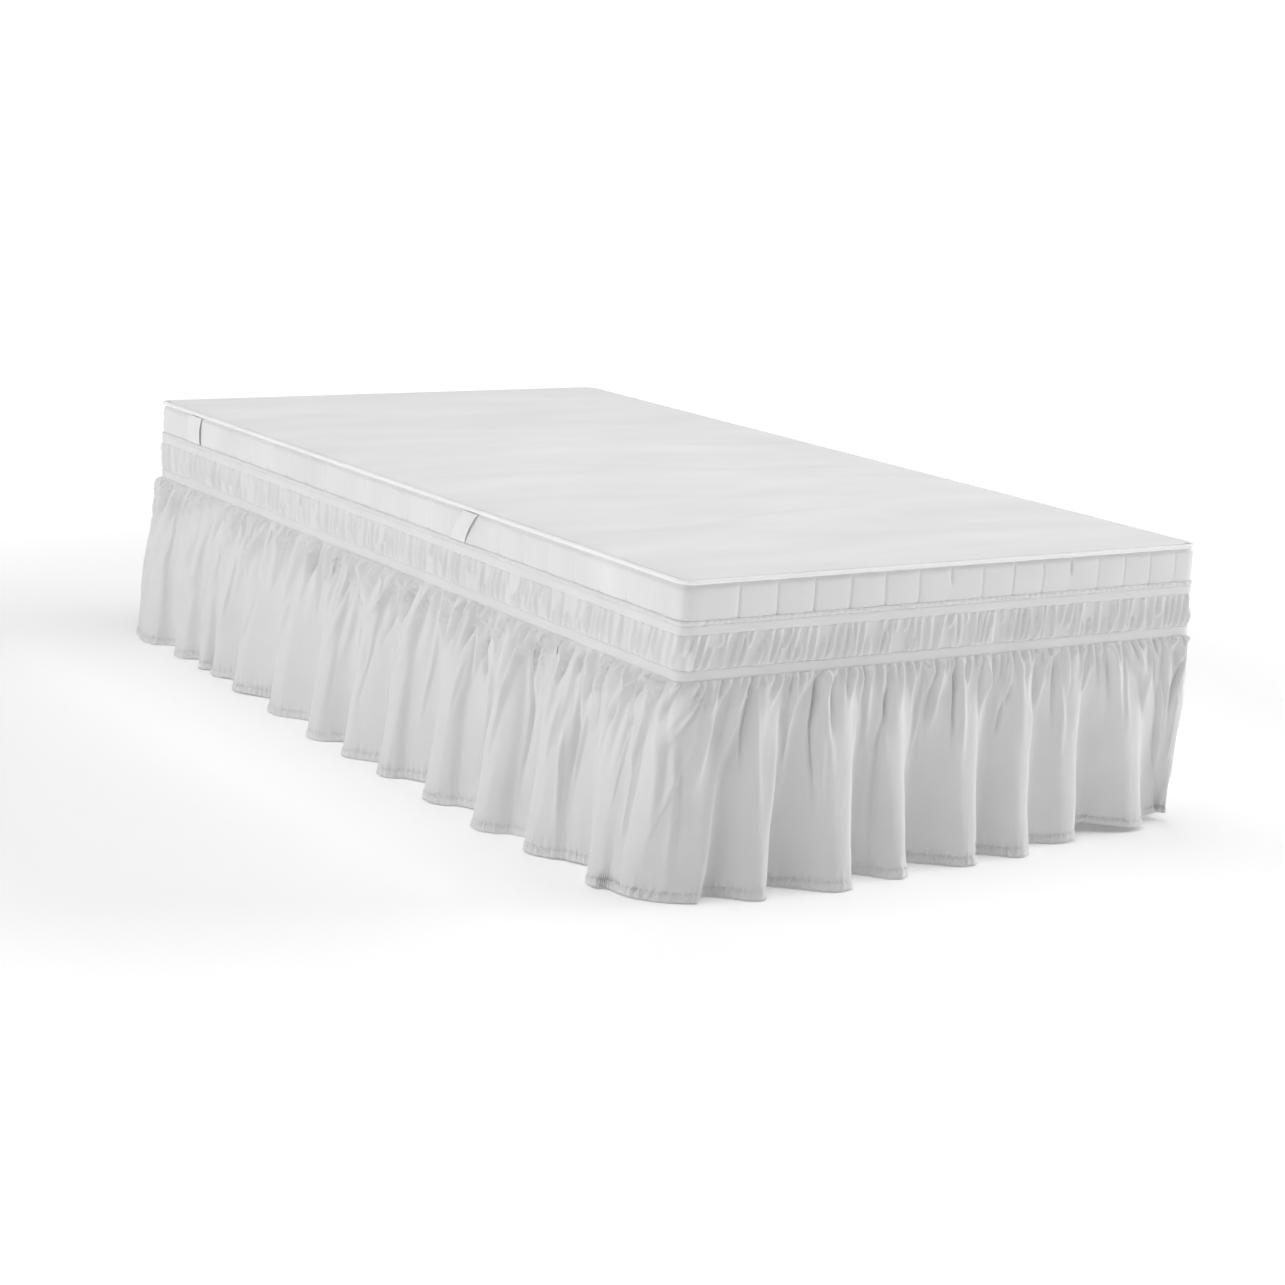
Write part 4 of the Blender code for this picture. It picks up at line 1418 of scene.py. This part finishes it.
def weave_group() -> bpy.types.NodeTree:
    """A plain weave in cloth coordinates, with uneven threads and slubs.

    Returns:
        The group.
    """
    tree, board, given, end = new_group(
        Relief.WEAVE.value,
        {"Cloth": ("NodeSocketVector", 0.0), "Pitch": ("NodeSocketFloat", 0.0006),
         "Slub": ("NodeSocketFloat", 0.5)}, ("Height", "Tone"))
    parts = board.add("ShaderNodeSeparateXYZ", Vector=given["Cloth"])
    waves = []
    for axis, seed in (("X", 3.1), ("Y", 7.7)):
        turns = board.math("DIVIDE", parts.outputs[axis], given["Pitch"])
        stretched = board.add("ShaderNodeMapping", Vector=given["Cloth"])
        stretched.inputs["Scale"].default_value = (900, 14, 1) if axis == "X" else (14, 900, 1)
        stretched.inputs["Location"].default_value = (seed, seed, 0)
        slub = board.add("ShaderNodeTexNoise", noise_dimensions="2D", Scale=1.0, Detail=1.0,
                         Vector=stretched.outputs[0])
        wave = board.math("SINE", board.math("MULTIPLY", turns, math.tau))
        uneven = board.math("MULTIPLY", board.math("SUBTRACT", slub.outputs[0], 0.5), given["Slub"])
        waves.append((wave, uneven))
    crossing = board.math("MULTIPLY", waves[0][0], waves[1][0])
    slubs = board.math("ADD", waves[0][1], waves[1][1])
    board.feed(end.inputs["Height"], board.math("MULTIPLY_ADD", crossing, 0.35, slubs))
    board.feed(end.inputs["Tone"], board.math("ADD", slubs, 0.5))
    return tree


def crumple_group() -> bpy.types.NodeTree:
    """Soft wrinkles of washed cloth, in the object's own coordinates.

    Returns:
        The group.
    """
    tree, board, given, end = new_group(
        Relief.CRUMPLE.value,
        {"Place": ("NodeSocketVector", 0.0), "Size": ("NodeSocketFloat", 0.03)}, ("Height",))
    scale = board.math("DIVIDE", 1.0, given["Size"])
    broad = board.add("ShaderNodeTexNoise", Vector=given["Place"], Scale=scale, Detail=3.0,
                      Roughness=0.55, Distortion=0.6)
    ridged = board.math("ABSOLUTE", board.math("SUBTRACT", broad.outputs[0], 0.5))
    board.feed(end.inputs["Height"], board.math("SUBTRACT", 0.5, ridged))
    return tree


def stitch_group() -> bpy.types.NodeTree:
    """A row of stitches at one height in cloth coordinates, with the puckers round it.

    Returns:
        The group.
    """
    tree, board, given, end = new_group(
        Relief.STITCHES.value,
        {"Cloth": ("NodeSocketVector", 0.0), "Row": ("NodeSocketFloat", 0.011),
         "Pitch": ("NodeSocketFloat", 0.0036), "Pucker": ("NodeSocketFloat", 0.008)},
        ("Thread", "Pucker"))
    parts = board.add("ShaderNodeSeparateXYZ", Vector=given["Cloth"])
    away = board.math("ABSOLUTE", board.math("SUBTRACT", parts.outputs["Y"], given["Row"]))
    near = board.math("SMOOTH_MIN", board.math("DIVIDE", away, 0.0007), 1.0, 0.2)
    turn = board.math("FRACT", board.math("DIVIDE", parts.outputs["X"], given["Pitch"]))
    dash = board.math("LESS_THAN", board.math("ABSOLUTE", board.math("SUBTRACT", turn, 0.5)), 0.33)
    thread = board.math("MULTIPLY", board.math("SUBTRACT", 1.0, near), dash)
    board.feed(end.inputs["Thread"], thread)
    wander = board.add("ShaderNodeTexNoise", Vector=given["Cloth"], Scale=55.0, Detail=1.0)
    phase = board.math("MULTIPLY_ADD", wander.outputs[0], 3.0,
                       board.math("DIVIDE", parts.outputs["X"], given["Pucker"]))
    ripple = board.math("SINE", board.math("MULTIPLY", phase, math.tau))
    reach = board.math("SUBTRACT", 1.0, board.math("DIVIDE", away, 0.012))
    reach = board.math("POWER", board.math("MAXIMUM", reach, 0.0), 1.5)
    board.feed(end.inputs["Pucker"], board.math("MULTIPLY", ripple, reach))
    return tree


@dataclass(frozen=True)
class ClothFinish:
    """A woven finish: its two tones, roughness, weave and wrinkles."""

    name: str
    tone: tuple[float, float, float]
    shade: tuple[float, float, float]
    roughness: float = 0.88
    sheen: float = 0.15
    pitch: float = 0.0006
    slub: float = 0.6
    weave_depth: float = 0.00010
    crumple_size: float = 0.030
    crumple_depth: float = 0.0011
    stitch_rows: tuple[float, ...] = ()
    pucker_depth: float = 0.0
    # size and stretch of the random colour mottle; stretched into streaks, as on the ticking, it is
    # painted light and shade
    mottle_and_painted_streak_size: float = 0.10
    painted_streak_stretch: tuple[float, float, float] = (1.0, 1.0, 1.0)

    def material(self, groups: dict[Relief, bpy.types.NodeTree]) -> bpy.types.Material:
        """Builds the material.

        Args:
            groups: the shared node groups.

        Returns:
            The new material.
        """
        made = bpy.data.materials.new(self.name)
        made.use_nodes = True
        board = NodeBoard(made.node_tree)
        shader = made.node_tree.nodes["Principled BSDF"]
        uv = board.add("ShaderNodeUVMap", uv_map="cloth").outputs[0]
        place = board.add("ShaderNodeTexCoord").outputs["Object"]
        weave = self._group(board, groups[Relief.WEAVE], Cloth=uv, Pitch=self.pitch, Slub=self.slub)
        crumple = self._group(board, groups[Relief.CRUMPLE], Place=place, Size=self.crumple_size)
        # random mottle of the cloth's tone; where it is stretched into streaks across the bed it is
        # painted light and shade, standing in for the shading of the mattress top's soft waves
        drawn = board.add("ShaderNodeMapping", Vector=place)
        drawn.inputs["Scale"].default_value = self.painted_streak_stretch
        mottle_and_painted_streaks = board.add("ShaderNodeTexNoise", Vector=drawn.outputs[0], Scale=1 / self.mottle_and_painted_streak_size,
                           Detail=2.0)
        strong = board.math("MULTIPLY_ADD", mottle_and_painted_streaks.outputs[0], 1.6, -0.3)
        blend = board.math("MULTIPLY_ADD", weave.outputs["Tone"], 0.25,
                           board.math("MULTIPLY", strong, 0.75))
        board.feed(shader.inputs["Base Color"], board.blend(blend, self.shade, self.tone))
        rough = board.math("MULTIPLY_ADD", weave.outputs["Tone"], 0.08, self.roughness - 0.04)
        board.feed(shader.inputs["Roughness"], rough)
        shader.inputs["Sheen Weight"].default_value = self.sheen
        shader.inputs["Sheen Roughness"].default_value = 0.5
        shader.inputs["Specular IOR Level"].default_value = 0.25
        normal = self._bump(board, crumple.outputs["Height"], self.crumple_depth, None)
        for row in self.stitch_rows:
            stitches = self._group(board, groups[Relief.STITCHES], Cloth=uv, Row=row)
            normal = self._bump(board, stitches.outputs["Thread"], 0.00030, normal)
            if self.pucker_depth:
                normal = self._bump(board, stitches.outputs["Pucker"], self.pucker_depth, normal)
        normal = self._bump(board, weave.outputs["Height"], self.weave_depth, normal)
        board.feed(shader.inputs["Normal"], normal)
        return made

    @staticmethod
    def _group(board: NodeBoard, group: bpy.types.NodeTree, **values: object) -> bpy.types.Node:
        """Places a shared group with this finish's own values.

        Args:
            board: the material's board.
            group: the shared group.
            values: values for its inputs.

        Returns:
            The group's node.
        """
        node = board.tree.nodes.new("ShaderNodeGroup")
        node.node_tree = group
        for key, value in values.items():
            board.feed(node.inputs[key], value)
        return node

    @staticmethod
    def _bump(board: NodeBoard, height: bpy.types.NodeSocket, depth: float,
              under: bpy.types.NodeSocket | None) -> bpy.types.NodeSocket:
        """A Bump node of a real depth in metres, over an earlier one.

        Args:
            board: the material's board.
            height: what the relief follows.
            depth: its depth in metres.
            under: the normal of the relief under it, if there is any.

        Returns:
            The new normal.
        """
        bump = board.tree.nodes.new("ShaderNodeBump")
        bump.inputs["Strength"].default_value = 1.0
        bump.inputs["Distance"].default_value = depth
        board.feed(bump.inputs["Height"], height)
        if under is not None:
            board.feed(bump.inputs["Normal"], under)
        return bump.outputs[0]


@dataclass(frozen=True)
class PaintedWood:
    """Satin paint over wood, with a faint grain under it."""

    name: str = "base_painted_wood"
    tone: tuple[float, float, float] = (0.74, 0.72, 0.69)
    shade: tuple[float, float, float] = (0.68, 0.66, 0.63)

    def material(self) -> bpy.types.Material:
        """Builds the material.

        Returns:
            The new material.
        """
        made = bpy.data.materials.new(self.name)
        made.use_nodes = True
        board = NodeBoard(made.node_tree)
        shader = made.node_tree.nodes["Principled BSDF"]
        place = board.add("ShaderNodeTexCoord").outputs["Object"]
        grain = board.add("ShaderNodeMapping", Vector=place)
        grain.inputs["Scale"].default_value = (60, 4, 60)
        noise = board.add("ShaderNodeTexNoise", Vector=grain.outputs[0], Scale=1.0, Detail=4.0)
        colour = board.blend(noise.outputs[0], self.shade, self.tone)
        board.feed(shader.inputs["Base Color"], colour)
        board.feed(shader.inputs["Roughness"], board.math("MULTIPLY_ADD", noise.outputs[0], 0.2, 0.4))
        bump = board.tree.nodes.new("ShaderNodeBump")
        bump.inputs["Distance"].default_value = 0.0002
        board.feed(bump.inputs["Height"], noise.outputs[0])
        board.feed(shader.inputs["Normal"], bump.outputs[0])
        return made


COTTON = ClothFinish("skirt_white_cotton", (0.86, 0.86, 0.865), (0.80, 0.80, 0.805),
                     stitch_rows=(0.0120,), pucker_depth=0.0005)
ELASTIC = ClothFinish("elastic_white", (0.86, 0.86, 0.865), (0.80, 0.80, 0.805), roughness=0.8,
                      pitch=0.0011, slub=0.3, weave_depth=0.00012, crumple_size=0.012,
                      crumple_depth=0.0002)
# the ticking's mottle is stretched into streaks across the bed: painted light and shade, placed at
# random, standing in for the shading of the top's soft waves, and it runs over the border too
TICKING = ClothFinish("mattress_white_ticking", (0.90, 0.90, 0.905), (0.78, 0.78, 0.79),
                      pitch=0.0012, slub=0.4, crumple_size=0.045, crumple_depth=0.0006,
                      mottle_and_painted_streak_size=0.30, painted_streak_stretch=(1.0, 3.4, 1.0))
WELT = ClothFinish("piping_white_welt", (0.99, 0.99, 0.99), (0.97, 0.97, 0.97), roughness=0.55,
                   sheen=0.3, crumple_size=0.02, crumple_depth=0.0001)
WEBBING = ClothFinish("handle_white_webbing", (0.92, 0.92, 0.92), (0.87, 0.87, 0.87), roughness=0.7,
                      pitch=0.0018, weave_depth=0.0003, crumple_depth=0.0002)


# ------------------------------------------------------------------ studio


@dataclass(frozen=True)
class Softbox:
    """A rectangular soft light, aimed at a point."""

    name: str
    place: tuple[float, float, float]
    aim: tuple[float, float, float]
    size: tuple[float, float]
    power: float

    def build(self) -> None:
        """Adds the light to the scene."""
        data = bpy.data.lights.new(self.name, "AREA")
        data.shape = "RECTANGLE"
        data.size, data.size_y = self.size
        data.energy = self.power
        lamp = bpy.data.objects.new(self.name, data)
        lamp.location = self.place
        lamp.visible_camera = False
        ahead = Vector(self.aim) - Vector(self.place)
        lamp.rotation_euler = ahead.to_track_quat("-Z", "Y").to_euler()
        bpy.context.scene.collection.objects.link(lamp)


@dataclass
class Studio:
    """The pale floor, the soft lights and the camera."""

    eye: tuple[float, float, float] = (-2.7982, -4.4427, 1.2791)
    right: tuple[float, float, float] = (0.846638, -0.529989, 0.048117)
    up: tuple[float, float, float] = (0.072591, 0.204584, 0.976154)
    back: tuple[float, float, float] = (-0.527195, -0.822956, 0.211681)
    lens: float = 82.757
    sensor: float = 36.0
    floor_size: float = 600.0
    floor_tone: float = 0.93
    floor_glow: float = 0.18
    # further glow of the floor, as (from, to, strength) in metres from the bed
    glow_rings: tuple[tuple[float, float, float], ...] = ((1.3, 2.6, 0.24), (2.5, 9.0, 1.45))
    sky: float = 1.0                # seen past the floor's edge, and lights nothing
    wall_height: float = 8.0
    lights: tuple[Softbox, ...] = (
        Softbox("left_back", (-7.2, 4.3, 3.2), (0, 0, 0.2), (4.0, 4.0), 124),
        Softbox("left", (-8.5, 0.0, 3.2), (0, 0, 0.2), (4.0, 4.0), 88),
        Softbox("left_front", (-8.0, -2.9, 3.2), (0, 0, 0.2), (4.0, 4.0), 38),
        Softbox("near_left", (-3.2, -1.7, 0.8), (-0.6, -0.8, 0.2), (0.9, 0.9), 3.4),
        Softbox("right_front", (5.5, -6.5, 3.2), (0, 0, 0.2), (4.0, 4.0), 88),
        Softbox("right", (8.2, -2.2, 3.2), (0, 0, 0.2), (4.0, 4.0), 356),
        Softbox("top", (0.0, 0.0, 5.0), (0, 0, 0), (5.0, 5.0), 194),
    )

    def build(self) -> None:
        """Builds the camera, the floor, the lights and the sky."""
        scene = bpy.context.scene
        data = bpy.data.cameras.new("camera")
        data.lens, data.sensor_width, data.sensor_fit = self.lens, self.sensor, "HORIZONTAL"
        data.clip_end = 1000
        camera = bpy.data.objects.new("camera", data)
        turn = Matrix((self.right, self.up, self.back)).transposed().to_4x4()
        camera.matrix_world = Matrix.Translation(self.eye) @ turn
        scene.collection.objects.link(camera)
        scene.camera = camera
        for light in self.lights:
            light.build()
        world = bpy.data.worlds.new("studio")
        world.use_nodes = True
        world.node_tree.nodes["Background"].inputs["Color"].default_value = (1, 1, 1, 1)
        world.node_tree.nodes["Background"].inputs["Strength"].default_value = self.sky
        scene.world = world
        seen = world.cycles_visibility
        seen.diffuse = seen.glossy = seen.transmission = seen.scatter = False
        scene.view_settings.view_transform = "Standard"
        self._floor()
        self._backdrop()

    def _floor(self) -> None:
        """A pale floor that glows with painted light: faintly near the bed and much more strongly
        farther out, so that it also lights the bed from below.
        """
        bm = bmesh.new()
        bmesh.ops.create_grid(bm, x_segments=1, y_segments=1, size=self.floor_size / 2)
        mesh = bpy.data.meshes.new("floor")
        bm.to_mesh(mesh)
        bm.free()
        floor = linked("floor", mesh)
        paint = bpy.data.materials.new("floor_pale")
        paint.use_nodes = True
        shader = paint.node_tree.nodes["Principled BSDF"]
        board = NodeBoard(paint.node_tree)
        place = board.add("ShaderNodeTexCoord").outputs["Object"]
        noise = board.add("ShaderNodeTexNoise", Vector=place, Scale=3.0, Detail=3.0)
        tone = board.math("MULTIPLY_ADD", noise.outputs[0], 0.01, self.floor_tone)
        board.feed(shader.inputs["Base Color"], tone)
        far = board.add("ShaderNodeVectorMath", operation="LENGTH")
        board.feed(far.inputs[0], place)
        # painted light: the floor's emission, faint near the bed and growing in rings farther out
        glow = self.floor_glow
        for start, end, strength in self.glow_rings:
            ring = board.add("ShaderNodeMapRange", interpolation_type="SMOOTHSTEP")
            for socket, value in zip(ring.inputs, (far.outputs["Value"], start, end, 0.0, strength)):
                board.feed(socket, value)
            glow = board.math("ADD", ring.outputs[0], glow)
        shader.inputs["Emission Color"].default_value = (1, 1, 1, 1)
        board.feed(shader.inputs["Emission Strength"], glow)
        shader.inputs["Roughness"].default_value = 0.9
        floor.data.materials.append(paint)

    def _backdrop(self) -> None:
        """A far white wall round the floor, which hides its edge."""
        bm = bmesh.new()
        bmesh.ops.create_cone(bm, cap_ends=False, segments=96, radius1=self.floor_size * 0.45,
                              radius2=self.floor_size * 0.45, depth=self.wall_height * 2)
        mesh = bpy.data.meshes.new("backdrop")
        bm.to_mesh(mesh)
        bm.free()
        wall = linked("backdrop", mesh)
        paint = bpy.data.materials.new("backdrop_white")
        paint.use_nodes = True
        shader = paint.node_tree.nodes["Principled BSDF"]
        shader.inputs["Base Color"].default_value = (0, 0, 0, 1)
        shader.inputs["Emission Color"].default_value = (1, 1, 1, 1)
        shader.inputs["Emission Strength"].default_value = 1.0
        wall.data.materials.append(paint)


def main() -> None:
    """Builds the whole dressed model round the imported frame."""
    logging.basicConfig(level=logging.INFO, format="%(name)s: %(message)s")
    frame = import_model()
    Studio().build()
    groups = {Relief.WEAVE: weave_group(), Relief.CRUMPLE: crumple_group(),
              Relief.STITCHES: stitch_group()}
    Skirt().build(COTTON.material(groups), ELASTIC.material(groups))
    Mattress().build(TICKING.material(groups), WELT.material(groups))
    webbing = WEBBING.material(groups)
    for handle in (Handle("handle_strap_foot", 0.637, 0.677, 0.046, 0.0052),
                   Handle("handle_strap_head", 1.735, 1.742, 0.056, 0.0040)):
        handle.build(webbing)
    paint = PaintedWood().material()
    for name in ("bed_base", "leg_1", "leg_2", "leg_3", "leg_4"):
        node = frame["nodes"][name]
        node.data.materials.clear()
        node.data.materials.append(paint)
        LOG.info("%s: kept, with painted wood", name)


if __name__ == "__main__":
    main()
